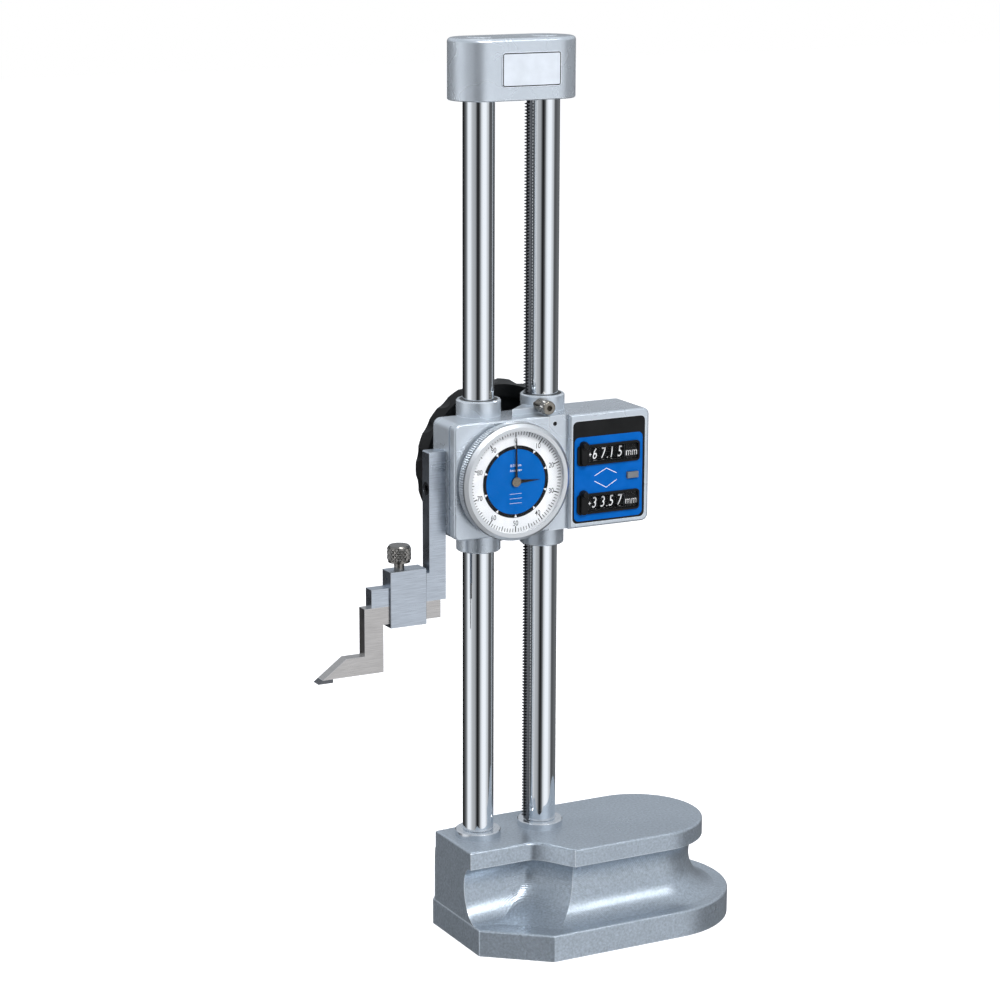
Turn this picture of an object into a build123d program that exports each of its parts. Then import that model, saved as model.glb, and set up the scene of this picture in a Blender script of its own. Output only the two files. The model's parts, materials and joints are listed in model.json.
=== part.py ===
"""Dial height gauge: twin columns on a grip base, a slider with dial and counters, and a scriber.

Millimetres. The origin is on the base's lapped underside, midway between the column axes.
+X points to the counter side, +Y to the back and +Z up the columns.
"""
import os
from math import atan2, cos, degrees, pi, radians, sin, sqrt, tan

from build123d import *

os.makedirs("parts", exist_ok=True)

# ---------------------------------------------------------------- driving dimensions
# Fits and clearances
running_gap = 0.03        # radial play of a column in its bush, or of a shaft in its bearing
seat_gap = 0.02           # radial play of a piece that is fixed in its seat
part_gap = 0.3            # air between pieces that move past each other
hair = 0.05               # air between fixed faces that lie side by side
edge_break = 0.6          # small rounding on machined edges

# Columns
column_radius = 9.0
column_spacing = 41.0
column_base_depth = 38.0  # how far a column reaches down into the base
column_head_depth = 26.0  # how far a column reaches up into the head
collar_radius = 13.3
collar_height = 4.0
collar_groove = 0.5
stud_radius = 4.0         # socket screws that hold the columns from below
stud_head_radius = 6.5
stud_head_height = 8.0
stud_socket = 3.0
stud_recess = 9.0
stud_bite = 12.0          # how far a screw reaches into its column

# Base casting
base_height = 58.8
base_left = -39.6
lower_flange = 15.7
upper_flange = 10.3
waist_height = 37.0
lobe_axis = -11.8         # the round lobe's own centre line, forward of the columns
lobe_end = 80.2           # centre of the round end
lobe_upper_radius = 38.6
lobe_waist_radius = 30.7
lobe_lower_radius = 54.3
cove_ledge = 2.6          # flat left on the lower flange outside the cove
cast_edge = 1.3
relief_length = 70.0
relief_width = 60.0
relief_depth = 2.0
relief_corner = 12.0
relief_centre = 68.0

# Head block
head_bottom = 485.0
head_height = 34.0
head_radius = 17.5
head_edge = 2.2
plate_length = 37.0
plate_height = 19.2
plate_thickness = 0.4
plate_centre_x = 3.2
plate_centre_z = 502.0
cap_radius = 7.0
cap_thickness = 2.0
cap_proud = 0.3
grub_radius = 3.0         # screws that clamp the head on the columns, from behind
grub_socket = 1.5

# Rack, let into the inner side of the right column
rack_pitch = 1.8
rack_tooth_depth = 1.3
rack_width = 4.0
rack_offset = 10.6         # from the right column's axis to the rack's pitch line
rack_back_offset = 7.9     # and to its back face, in its groove
rack_margin = 0.3         # air between the rack's ends and the collar and head
tooth_tip_share = 0.11    # half a tooth's width at its tip, as a share of the pitch
tooth_root_share = 0.34   # and at its root

# Slider casting and sleeves
slider_bottom = 242.2
slider_top = 308.4
slider_left_reach = 26.7   # from the left column's axis to the casting's left side
slider_right_reach = 13.7  # from the right column's axis to its right side, behind the housing
slider_front = -17.4      # face that the front plate is screwed to
slider_back = 7.0
slider_edge = 4.5
sleeve_radius = 12.7
sleeve_bottom = 230.2
sleeve_top = 317.5
bush_wall = 1.9
bush_length = 12.0
bore_relief = 0.7         # the casting's bore is this much larger than the column
lug_tip = -5.0            # left tip of the clamping lug at the right sleeve's foot
lug_front = 11.5
lug_height = 3.4
groove_depth = 1.3
groove_width = 2.0

# Front plate
front_plate_offset = 8.0  # from the right column's axis to the plate's right side
front_plate_thickness = 5.6
front_plate_corner = 4.0

# Dial
dial_offset = 32.9        # from the right column's axis to the dial's
dial_z = 274.5
case_radius = 31.2
case_height = 4.2
bezel_radius = 33.3
bezel_front = 33.4        # how far the bezel's front stands before the column plane
bezel_face = 31.4         # radius of the flat front ring
bezel_lip = 29.2          # radius of the opening
bezel_height = 8.6
crystal_thickness = 1.0
dial_thickness = 0.8
bezel_slope = 1.8
bezel_gap = 0.1           # air between the turning bezel and its case
pointer_air = 0.3
pointer_root = 0.8        # half the long pointer's width at its hub
pointer_tip = 0.25        # and at its end
short_pointer_root = 1.3
dial_setback = 3.6        # from the bezel's front to the dial's face
pointer_length = 24.6
pointer_tail = 2.0
short_pointer_length = 15.5
pointer_thickness = 0.25
hub_radius = 2.7
spindle_radius = 0.9
spindle_tube_radius = 1.5
spindle_step = 4.0        # depth of the spindle's blind bearing in the casting
# Wheels between the drive shaft and the pointers, in three layers inside the dial case
wheel_thickness = 0.9
drive_wheel_teeth = 54
arbor_pinion_teeth = 6
arbor_wheel_teeth = 48
spindle_pinion_teeth = 8
arbor_small_teeth = 30
tube_wheel_teeth = 50
drive_arbor_distance = 12.0
arbor_dial_distance = 10.5
arbor_radius = 0.7
arbor_bite = 3.0          # length of the arbor's bearing in the front plate
tooth_rise = 0.9          # height of a wheel's tooth above the pitch circle, in modules
tooth_fall = 1.05         # and below it
wheel_tip_share = 0.08    # half a tooth's width at its tip, as a share of the pitch
wheel_root_share = 0.20   # and at its root
spigot_radius = 30.0
spigot_height = 1.7
case_floor = 1.4
case_inner_radius = 26.0

# Drive: the handwheel's pinion climbs the rack
pinion_teeth = 30
drive_z = 274.5
shaft_radius = 4.0
shaft_nose_bush = 9.0      # length of the shaft's front bearing before the column plane
shaft_nose_radius = 3.0
pocket_radius = 9.6
pinion_width = 4.0
handwheel_radius = 48.2
handwheel_front = 18.2
handwheel_back = 29.0
handwheel_lobes = 18
handwheel_taper = 2.0
handwheel_scallop = 1.4   # depth of the finger scallops
handwheel_rim = 9.0       # radial width of the rim
handwheel_web = 4.0
scallop_radius = 9.0
gear_tip_share = 0.10     # half a pinion tooth's width at its tip, as a share of the pitch
gear_root_share = 0.27    # and at its root
handwheel_hub = 11.0
handwheel_hub_front = 14.0
hub_screw_radius = 4.6
hub_screw_proud = 1.6
pinion_addendum = 0.5
pinion_dedendum = 0.75
cover_height = 38.0
cover_thickness = 2.2
cover_boss_radius = 8.0
cover_boss_end = 13.6
cover_screw_spread = 14.5
small_screw_radius = 1.25
small_head_radius = 2.3
small_head_height = 1.4
small_screw_bite = 4.0

# Counter housing
housing_overlap = 7.8     # from the right column's axis left to the housing's low part
block_offset = 3.7        # and right to the left side of the raised display block
housing_reach = 55.8      # and to the housing's right side
housing_front = 26.0
housing_shoulder = 22.9   # front of the low part beside the dial
housing_back = 6.5
housing_wall = 2.2
housing_corner = 4.0
panel_left_margin = 2.0   # silver rim beside the panel
panel_right_margin = 2.9
panel_bottom = 245.0
panel_top = 304.2
panel_corner = 3.0
panel_thickness = 1.0
overlay_left_margin = 1.2 # black rim beside the coloured field
overlay_right_margin = 1.5
overlay_bottom = 246.1
overlay_top = 294.8
overlay_thickness = 0.25
window_left_margin = 2.8  # from the panel's side to the window frames
window_right_margin = 3.6
window_height = 11.8
window_depth = 0.9
window_corner = 2.2
counter_upper_z = 284.3
counter_lower_z = 255.9
drum_radius = 11.4
digit_window_height = 7.6  # opening that shows one digit of each drum
block_edge = 1.5           # rounding of the display block's front
drum_width = 5.1
drum_pitch = 5.5
drum_count = 4
drum_first_offset = 15.4  # from the panel's left side to the middle of the first number drum
drum_shaft_radius = 1.5
post_width = 4.8          # raised post beside each window that carries the reset knob
post_rise = 8.2
post_proud = 1.6
knob_radius = 1.9
knob_depth = 5.0
selector_depth = 4.0
selector_travel = 1.0
post_radius = 3.2         # corner posts that the back cover is screwed to
cover_plate = 2.0
shoulder_screw_offset = 4.2  # from the right column's axis to the small screw
shoulder_screw_z = 303.7
knob_proud = 1.6
knob_travel = 1.2
knob_offset = 6.8         # from the panel's left side to the reset knobs
knob_rise = 6.0           # the reset knob's middle above its window's middle
selector_inset = 8.2      # from the panel's right side to the selector button's middle
selector_rise = 0.1       # and how far it lies above the middle between the counters
selector_length = 7.3
selector_height = 3.6
selector_proud = 1.3

# Lock screw on the upper right sleeve
lock_offset = 8.1         # from the right column's axis to the lock screw
lock_z = 313.0
lock_radius = 3.8
lock_length = 11.4
lock_front = -23.6
lock_thread_radius = 1.9
lock_socket = 1.6
lock_bore_end = 7.2       # the lock screw's bore ends this far before the column plane

# Jaw: arm, bar, clamp and scriber
arm_width = 10.3
arm_depth = 8.6
arm_front = -12.0
arm_top = 292.0
bar_bottom = 206.8
bar_height = 10.4
bar_end = -93.6
bar_depth = 7.6
bar_root = 223.0          # top of the stout root where bar and arm meet
bar_root_length = 1.9
arm_screw_z = 270.8
arm_screw_y = -7.7
arm_screw_radius = 2.0
arm_screw_head = 3.6
arm_screw_recess = 5.0
arm_screw_bite = 8.0
clamp_left = -82.5
clamp_right = -60.2
clamp_top = 226.3
clamp_wall = 1.6
clamp_floor = 2.3
clamp_knob_x = -74.6
clamp_knob_radius = 6.2
clamp_knob_height = 9.6
clamp_neck_radius = 2.85
clamp_neck_height = 4.5
clamp_thread_radius = 2.0
pin_hole_radius = 0.9
scriber_depth = 7.0
scriber_height = 10.2
scriber_left = -98.0
scriber_leg = 11.6
scriber_right = -50.6
foot_top = 179.6
foot_underside = 168.9
foot_slope_x = -109.3
tip_x = -126.5
tip_z = 167.0             # measuring face; it touches the plate at the slider's lowest
carbide_length = 9.0
carbide_thickness = 2.0

# ---------------------------------------------------------------- derived sizes
half_spacing = column_spacing / 2
slider_left = -half_spacing - slider_left_reach
slider_right = half_spacing + slider_right_reach
rack_line = half_spacing - rack_offset
rack_back = half_spacing - rack_back_offset
front_plate_right = half_spacing - front_plate_offset
dial_x = half_spacing - dial_offset
housing_left = half_spacing - housing_overlap
housing_block = half_spacing + block_offset
housing_right = half_spacing + housing_reach
panel_left = housing_block + panel_left_margin
panel_right = housing_right - panel_right_margin
overlay_left = panel_left + overlay_left_margin
overlay_right = panel_right - overlay_right_margin
window_left = panel_left + window_left_margin
window_right = panel_right - window_right_margin
drum_first_x = panel_left + drum_first_offset
knob_x = panel_left + knob_offset
selector_x = panel_right - selector_inset
selector_z = (counter_upper_z + counter_lower_z) / 2 + selector_rise
lock_x = half_spacing - lock_offset
shoulder_screw_x = half_spacing - shoulder_screw_offset
cover_half_width = half_spacing - sqrt(sleeve_radius ** 2 - slider_back ** 2) - part_gap
column_bottom = base_height - column_base_depth
column_top = head_bottom + column_head_depth
column_length = column_top - column_bottom
head_top = head_bottom + head_height
column_spots = [(-half_spacing, 0), (half_spacing, 0)]
collar_top = base_height + collar_height
pinion_radius = pinion_teeth * rack_pitch / (2 * pi)
drive_x = rack_line - pinion_radius
wheel_span = drive_x - dial_x
arbor_rise = (arbor_dial_distance ** 2 - drive_arbor_distance ** 2 + wheel_span ** 2) / (2 * wheel_span)
arbor_x = dial_x + arbor_rise
arbor_z = dial_z - sqrt(arbor_dial_distance ** 2 - arbor_rise ** 2)
plate_front = slider_front - front_plate_thickness
case_back = -plate_front
first_layer = case_back + case_floor + part_gap
second_layer = first_layer + wheel_thickness + part_gap
third_layer = second_layer + wheel_thickness + part_gap
shaft_front = first_layer + wheel_thickness
slider_height = slider_top - slider_bottom
sleeve_height = sleeve_top - sleeve_bottom
bush_radius = column_radius + bush_wall
rack_tip = rack_line - rack_tooth_depth / 2
rack_root = rack_line + rack_tooth_depth / 2
bar_top = bar_bottom + bar_height
arm_left = slider_left - hair - arm_width
scriber_top = bar_bottom - hair
panel_recess = panel_thickness + part_gap
panel_back = housing_front - panel_recess
panel_front = panel_back + panel_thickness
overlay_front = panel_front + overlay_thickness
window_front = overlay_front + window_depth
cavity_left = slider_right + housing_wall
cavity_right = housing_right - housing_wall
cavity_bottom = slider_bottom + housing_wall - edge_break
cavity_top = slider_top - housing_wall
cavity_front = panel_back - edge_break * 2
drum_front = panel_back - part_gap
drum_axis_depth = drum_front - drum_radius
counter_heights = (counter_upper_z, counter_lower_z)
drum_last_x = drum_first_x + (drum_count - 1) * drum_pitch
drum_window_left = drum_first_x - drum_pitch / 2 - part_gap
drum_window_right = drum_last_x + drum_pitch / 2 + part_gap
window_middle = (window_left + window_right) / 2
window_width = window_right - window_left
lens_left = window_left + 2 + post_width
lens_right = window_right - 1.0
lens_height = window_height - 2.4
clamp_bottom = scriber_top - scriber_height - hair - clamp_floor
cover_screw_spots = [(0, drive_z - cover_screw_spread), (0, drive_z + cover_screw_spread)]


def mix(first, second, share):
    """Blend two lists of points, share 0 giving the first and 1 the second."""
    return [tuple(a + (b - a) * share for a, b in zip(p, q)) for p, q in zip(first, second)]


# ---------------------------------------------------------------- base casting
# Each outline runs from the left end's front corner along the flare to the lobe, and back behind.
upper_front = [(base_left, -27.7), (-3.0, -27.7), (6.0, -28.2), (10.0, -42.0), (16.4, -50.4)]
upper_rear = [(base_left, 17.3), (-24.0, 18.4), (-14.0, 19.2), (-7.0, 26.6), (5.0, 26.8)]
waist_front = [(base_left, -19.2), (-2.0, -19.2), (7.0, -19.6), (12.0, -34.0), (19.0, -42.5)]
waist_rear = [(base_left, 18.5), (-24.0, 18.6), (-14.0, 18.7), (-4.0, 18.8), (5.0, 18.9)]
lower_front = [(base_left, -38.3), (-36.0, -41.2), (-25.8, -49.5), (-15.7, -57.8), (-5.5, -66.1)]
lower_rear = [(base_left, 21.0), (-36.0, 26.0), (-25.8, 31.5), (-15.7, 37.0), (-5.5, 42.5)]


def base_outline(front, rear, radius):
    """Draw one level of the base: straight left end, flared sides and the round lobe."""
    with BuildLine() as outline:
        Line(front[0], front[1])
        Bezier(*front[1:])
        Line(front[4], (lobe_end, lobe_axis - radius))
        ThreePointArc((lobe_end, lobe_axis - radius), (lobe_end + radius, lobe_axis),
                      (lobe_end, lobe_axis + radius))
        Line((lobe_end, lobe_axis + radius), rear[4])
        Bezier(*reversed(rear[1:]))
        Line(rear[1], rear[0])
        Line(rear[0], front[0])
    return outline


def cove_levels(from_height, to_height, target_front, target_rear, target_radius, shares):
    """List the levels of a cove that leaves the waist upright and ends almost flat."""
    levels = []
    for share in shares:
        spread = 1 - sqrt(1 - share ** 2)
        levels.append((from_height + (to_height - from_height) * share / shares[-1],
                       mix(waist_front, target_front, spread), mix(waist_rear, target_rear, spread),
                       lobe_waist_radius + (target_radius - lobe_waist_radius) * spread))
    return levels


cove_shares = (0.0, 0.38, 0.66, 0.86, 0.97)
under_shares = (0.0, 0.45, 0.78, 0.95)
ledge_front = [(x + (cove_ledge if i else 0), y + cove_ledge) for i, (x, y) in enumerate(lower_front)]
ledge_rear = [(x + (cove_ledge if i else 0), y - cove_ledge) for i, (x, y) in enumerate(lower_rear)]

with BuildPart() as base_casting:
    with BuildSketch():
        add(base_outline(lower_front, lower_rear, lobe_lower_radius).line)
        make_face()
    extrude(amount=lower_flange)
    lower_rims = base_casting.edges().group_by(Axis.Z)[-1] + base_casting.edges().filter_by(Axis.Z)
    fillet(lower_rims, cast_edge)
    for height, front, rear, radius in cove_levels(
            waist_height, lower_flange, ledge_front, ledge_rear,
            lobe_lower_radius - cove_ledge, cove_shares):
        with BuildSketch(Plane.XY.offset(height)):
            add(base_outline(front, rear, radius).line)
            make_face()
    loft()
    for height, front, rear, radius in cove_levels(
            waist_height, base_height - upper_flange, upper_front, upper_rear,
            lobe_upper_radius, under_shares):
        with BuildSketch(Plane.XY.offset(height)):
            add(base_outline(front, rear, radius).line)
            make_face()
    loft()
    with BuildSketch(Plane.XY.offset(base_height - upper_flange)):
        add(base_outline(upper_front, upper_rear, lobe_upper_radius).line)
        make_face()
    extrude(amount=upper_flange)
    top_rim = base_casting.faces().sort_by(Axis.Z)[-1].edges()
    fillet(top_rim, cast_edge)
    with Locations(Plane.XY.offset(base_height)):
        with Locations(*column_spots):
            Hole(column_radius + seat_gap, depth=column_base_depth)
            Hole(stud_radius + seat_gap)
    with Locations(Plane.XY.rotated((180, 0, 0))):
        with Locations(*column_spots):
            CounterBoreHole(stud_radius + seat_gap, stud_head_radius + part_gap, stud_recess,
                            depth=column_bottom)
    with BuildSketch():
        with Locations((relief_centre, lobe_axis)):
            RectangleRounded(relief_length, relief_width, relief_corner)
    extrude(amount=relief_depth, mode=Mode.SUBTRACT)
base_casting.part.label = "base_casting"
export_step(base_casting.part, "parts/base_casting.step")

# ---------------------------------------------------------------- columns and their fastenings
with BuildPart() as left_column:
    with Locations((-half_spacing, 0, column_bottom)):
        Cylinder(column_radius, column_length, align=(Align.CENTER, Align.CENTER, Align.MIN))
    chamfer(left_column.edges(), edge_break)
    with Locations((-half_spacing, 0, column_bottom)):
        Cylinder(stud_radius + seat_gap, stud_bite + part_gap, mode=Mode.SUBTRACT,
                 align=(Align.CENTER, Align.CENTER, Align.MIN))
left_column.part.label = "left_column"
export_step(left_column.part, "parts/left_column.step")

rack_bottom = collar_top + rack_margin
rack_top = head_bottom - rack_margin
with BuildPart() as right_column:
    with Locations((half_spacing, 0, column_bottom)):
        Cylinder(column_radius, column_length, align=(Align.CENTER, Align.CENTER, Align.MIN))
    chamfer(right_column.edges(), edge_break)
    with Locations((half_spacing, 0, column_bottom)):
        Cylinder(stud_radius + seat_gap, stud_bite + part_gap, mode=Mode.SUBTRACT,
                 align=(Align.CENTER, Align.CENTER, Align.MIN))
    with Locations((rack_back + seat_gap, 0, rack_bottom - seat_gap)):
        Box(rack_back, rack_width + 2 * seat_gap, rack_top - rack_bottom + 2 * seat_gap,
            align=(Align.MAX, Align.CENTER, Align.MIN), mode=Mode.SUBTRACT)
right_column.part.label = "right_column"
export_step(right_column.part, "parts/right_column.step")

with BuildPart() as column_collars:
    with Locations(*[(x, y, base_height) for x, y in column_spots]):
        Cylinder(collar_radius, collar_height, align=(Align.CENTER, Align.CENTER, Align.MIN))
    chamfer(column_collars.edges().group_by(Axis.Z)[-1], collar_groove)
    with Locations(*[(x, y, base_height) for x, y in column_spots]):
        Cylinder(column_radius + seat_gap, collar_height, mode=Mode.SUBTRACT,
                 align=(Align.CENTER, Align.CENTER, Align.MIN))
    with Locations(*[(x, y, collar_top - collar_groove) for x, y in column_spots]):
        Cylinder(column_radius + collar_groove * 2, collar_groove, mode=Mode.SUBTRACT,
                 align=(Align.CENTER, Align.CENTER, Align.MIN))
column_collars.part.label = "column_collars"
export_step(column_collars.part, "parts/column_collars.step")

with BuildPart() as column_screws:
    with Locations(*[(x, y, stud_recess) for x, y in column_spots]):
        Cylinder(stud_head_radius, stud_head_height, align=(Align.CENTER, Align.CENTER, Align.MAX))
        Cylinder(stud_radius, column_bottom + stud_bite - stud_recess,
                 align=(Align.CENTER, Align.CENTER, Align.MIN))
    with BuildSketch(Plane.XY.offset(stud_recess - stud_head_height)):
        with Locations(*column_spots):
            RegularPolygon(stud_socket, 6, major_radius=False)
    extrude(amount=stud_head_height / 2, mode=Mode.SUBTRACT)
column_screws.part.label = "column_screws"
export_step(column_screws.part, "parts/column_screws.step")

# The rack's teeth have straight flanks, thinned at the pitch line for a little backlash.
rack_tooth_count = int((rack_top - rack_bottom) / rack_pitch) - 2
mesh_count = round((drive_z - rack_bottom) / rack_pitch - 1)
first_tooth = drive_z - mesh_count * rack_pitch
with BuildPart() as rack:
    with BuildSketch(Plane.XZ.offset(-rack_width / 2)):
        with BuildLine():
            outline = [(rack_back, rack_bottom), (rack_root, rack_bottom)]
            for tooth in range(rack_tooth_count):
                middle = first_tooth + tooth * rack_pitch
                if middle + rack_pitch / 2 > rack_top:
                    break
                outline += [(rack_root, middle - rack_pitch * tooth_root_share),
                            (rack_tip, middle - rack_pitch * tooth_tip_share),
                            (rack_tip, middle + rack_pitch * tooth_tip_share),
                            (rack_root, middle + rack_pitch * tooth_root_share)]
            outline += [(rack_root, rack_top), (rack_back, rack_top)]
            Polyline(*outline, close=True)
        make_face()
    extrude(amount=rack_width)
rack.part.label = "rack"
export_step(rack.part, "parts/rack.step")

# ---------------------------------------------------------------- head block
with BuildPart() as head_block:
    with BuildSketch(Plane.XY.offset(head_bottom)):
        SlotCenterToCenter(column_spacing, 2 * head_radius)
    extrude(amount=head_height)
    fillet(head_block.edges().group_by(Axis.Z)[-1], head_edge)
    chamfer(head_block.edges().group_by(Axis.Z)[0], edge_break)
    with BuildSketch(Plane.XY.offset(head_bottom)):
        with Locations(*column_spots):
            Circle(column_radius + seat_gap)
    extrude(amount=column_head_depth, mode=Mode.SUBTRACT)
    with BuildSketch(Plane.XY.offset(head_top)):
        with Locations(*column_spots):
            Circle(cap_radius + seat_gap)
    extrude(amount=cap_proud - cap_thickness, mode=Mode.SUBTRACT)
    with BuildSketch(Plane.XZ.offset(-head_radius)):
        with Locations(*[(x, head_bottom + column_head_depth / 2) for x, y in column_spots]):
            Circle(grub_radius + seat_gap)
    extrude(amount=head_radius - column_radius, mode=Mode.SUBTRACT)
head_block.part.label = "head_block"
export_step(head_block.part, "parts/head_block.step")

with BuildPart() as column_caps:
    with Locations(*[(x, y, head_top + cap_proud) for x, y in column_spots]):
        Cylinder(cap_radius, cap_thickness, align=(Align.CENTER, Align.CENTER, Align.MAX))
    chamfer(column_caps.edges().group_by(Axis.Z)[-1], cap_proud)
column_caps.part.label = "column_caps"
export_step(column_caps.part, "parts/column_caps.step")

with BuildPart() as head_grub_screws:
    with BuildSketch(Plane.XZ.offset(-head_radius + edge_break)):
        with Locations(*[(x, head_bottom + column_head_depth / 2) for x, y in column_spots]):
            Circle(grub_radius)
    extrude(amount=head_radius - edge_break - column_radius - hair)
    with BuildSketch(Plane.XZ.offset(-head_radius + edge_break)):
        with Locations(*[(x, head_bottom + column_head_depth / 2) for x, y in column_spots]):
            RegularPolygon(grub_socket, 6, major_radius=False)
    extrude(amount=grub_radius, mode=Mode.SUBTRACT)
head_grub_screws.part.label = "head_grub_screws"
export_step(head_grub_screws.part, "parts/head_grub_screws.step")

with BuildPart() as head_plate:
    with BuildSketch(Plane.XZ.offset(head_radius)):
        with Locations((plate_centre_x, plate_centre_z)):
            RectangleRounded(plate_length, plate_height, plate_height / 8)
    extrude(amount=plate_thickness)
head_plate.part.label = "head_plate"
export_step(head_plate.part, "parts/head_plate.step")

# ---------------------------------------------------------------- slider casting
with BuildPart() as slider_body:
    with BuildSketch(Plane.XY.offset(slider_bottom)):
        with BuildLine():
            Polyline((slider_left, slider_back), (slider_left, slider_front + groove_width),
                     (slider_left + groove_depth, slider_front + groove_width),
                     (slider_left + groove_depth, slider_front), (slider_right, slider_front),
                     (slider_right, slider_back), close=True)
        make_face()
    extrude(amount=slider_height)
    rear_corners = slider_body.edges().filter_by(Axis.Z).group_by(Axis.Y)[-1]
    fillet(rear_corners.sort_by(Axis.X)[0], slider_edge)
    left_top = slider_body.edges().filter_by(Axis.Y).group_by(Axis.Z)[-1].sort_by(Axis.X)[0]
    left_low = slider_body.edges().filter_by(Axis.Y).group_by(Axis.Z)[0].sort_by(Axis.X)[0]
    fillet([left_top, left_low], slider_edge)
    with Locations(*[(x, y, sleeve_bottom) for x, y in column_spots]):
        Cylinder(sleeve_radius, sleeve_height, align=(Align.CENTER, Align.CENTER, Align.MIN))
    sleeve_lips = (slider_body.edges().filter_by(GeomType.CIRCLE).group_by(Axis.Z)[0]
                   + slider_body.edges().filter_by(GeomType.CIRCLE).group_by(Axis.Z)[-1])
    chamfer(sleeve_lips, edge_break)
    with BuildSketch(Plane.XY.offset(slider_top)):
        with BuildLine():
            Polyline((lug_tip, -lug_front), (half_spacing, -lug_front - edge_break),
                     (half_spacing, 0), (half_spacing - sleeve_radius, 0), close=True)
        make_face()
    extrude(amount=lug_height)
    # Bores: a relief over the middle, a larger seat at each end for the bush
    with Locations(*[(x, y, sleeve_bottom) for x, y in column_spots]):
        Cylinder(column_radius + bore_relief, sleeve_height, mode=Mode.SUBTRACT,
                 align=(Align.CENTER, Align.CENTER, Align.MIN))
        Cylinder(bush_radius + seat_gap, bush_length, mode=Mode.SUBTRACT,
                 align=(Align.CENTER, Align.CENTER, Align.MIN))
    with Locations(*[(x, y, sleeve_top) for x, y in column_spots]):
        Cylinder(bush_radius + seat_gap, bush_length, mode=Mode.SUBTRACT,
                 align=(Align.CENTER, Align.CENTER, Align.MAX))
    # Slot that lets the rack through the right sleeve
    with Locations((half_spacing, 0, sleeve_bottom)):
        Box(half_spacing - rack_tip + 2 * part_gap, rack_width + 2 * part_gap, sleeve_height,
            align=(Align.MAX, Align.CENTER, Align.MIN), mode=Mode.SUBTRACT)
    # Pocket for the pinion, open to the back, with a blind bearing ahead of it
    with BuildSketch(Plane.XZ.offset(-slider_back)):
        with Locations((drive_x, drive_z)):
            Circle(pocket_radius)
    extrude(amount=slider_back + pinion_width / 2 + part_gap, mode=Mode.SUBTRACT)
    with BuildSketch(Plane.XZ.offset(0)):
        with Locations((drive_x, drive_z)):
            Circle(shaft_nose_radius + running_gap)
    extrude(amount=-slider_front, mode=Mode.SUBTRACT)
    with BuildSketch(Plane.XZ.offset(shaft_nose_bush)):
        with Locations((drive_x, drive_z)):
            Circle(shaft_nose_radius + part_gap)
    extrude(amount=-slider_front - shaft_nose_bush, mode=Mode.SUBTRACT)
    # Hole of the lock screw and seat of its shoe
    with BuildSketch(Plane.XZ.offset(sleeve_radius + part_gap)):
        with Locations((lock_x, lock_z)):
            Circle(lock_thread_radius + part_gap / 2)
    extrude(amount=-(sleeve_radius + part_gap - lock_bore_end), mode=Mode.SUBTRACT)
    # Blind step bearing of the dial's spindle
    with BuildSketch(Plane.XZ.offset(-slider_front)):
        with Locations((dial_x, dial_z)):
            Circle(spindle_radius + running_gap)
    extrude(amount=-spindle_step, mode=Mode.SUBTRACT)
    # Tapped holes of the jaw arm's screw and of the pinion cover's screws
    with BuildSketch(Plane.YZ.offset(slider_left)):
        with Locations((arm_screw_y, arm_screw_z)):
            Circle(arm_screw_radius + seat_gap)
    extrude(amount=arm_screw_bite + part_gap, mode=Mode.SUBTRACT)
    with BuildSketch(Plane.XZ.offset(-slider_back)):
        with Locations(*cover_screw_spots):
            Circle(small_screw_radius + seat_gap)
    extrude(amount=small_screw_bite + part_gap, mode=Mode.SUBTRACT)
slider_body.part.label = "slider_body"
export_step(slider_body.part, "parts/slider_body.step")

with BuildPart() as column_bushes:
    for level in (sleeve_bottom, sleeve_top - bush_length):
        with Locations(*[(x, y, level) for x, y in column_spots]):
            Cylinder(bush_radius, bush_length, align=(Align.CENTER, Align.CENTER, Align.MIN))
            Cylinder(column_radius + running_gap, bush_length, mode=Mode.SUBTRACT,
                     align=(Align.CENTER, Align.CENTER, Align.MIN))
    with Locations((half_spacing, 0, sleeve_bottom)):
        Box(half_spacing - rack_tip + 2 * part_gap, rack_width + 2 * part_gap, sleeve_height,
            align=(Align.MAX, Align.CENTER, Align.MIN), mode=Mode.SUBTRACT)
    with BuildSketch(Plane.XZ.offset(sleeve_radius)):
        with Locations((lock_x, lock_z)):
            Circle(lock_thread_radius + part_gap / 2)
    extrude(amount=-(sleeve_radius - lock_bore_end), mode=Mode.SUBTRACT)
column_bushes.part.label = "column_bushes"
export_step(column_bushes.part, "parts/column_bushes.step")

with BuildPart() as lock_screw:
    with BuildSketch(Plane.XZ.offset(lock_bore_end + part_gap)):
        with Locations((lock_x, lock_z)):
            Circle(lock_thread_radius)
    extrude(amount=-lock_front - lock_bore_end - part_gap)
    with BuildSketch(Plane.XZ.offset(-lock_front - lock_length)):
        with Locations((lock_x, lock_z)):
            Circle(lock_radius)
    extrude(amount=lock_length)
    fillet(lock_screw.edges().filter_by(GeomType.CIRCLE).group_by(Axis.Y)[0], edge_break)
    with BuildSketch(Plane.XZ.offset(-lock_front)):
        with Locations((lock_x, lock_z)):
            RegularPolygon(lock_socket, 6, major_radius=False)
    extrude(amount=-lock_socket * 2, mode=Mode.SUBTRACT)
lock_screw.part.label = "lock_screw"
export_step(lock_screw.part, "parts/lock_screw.step")

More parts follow.
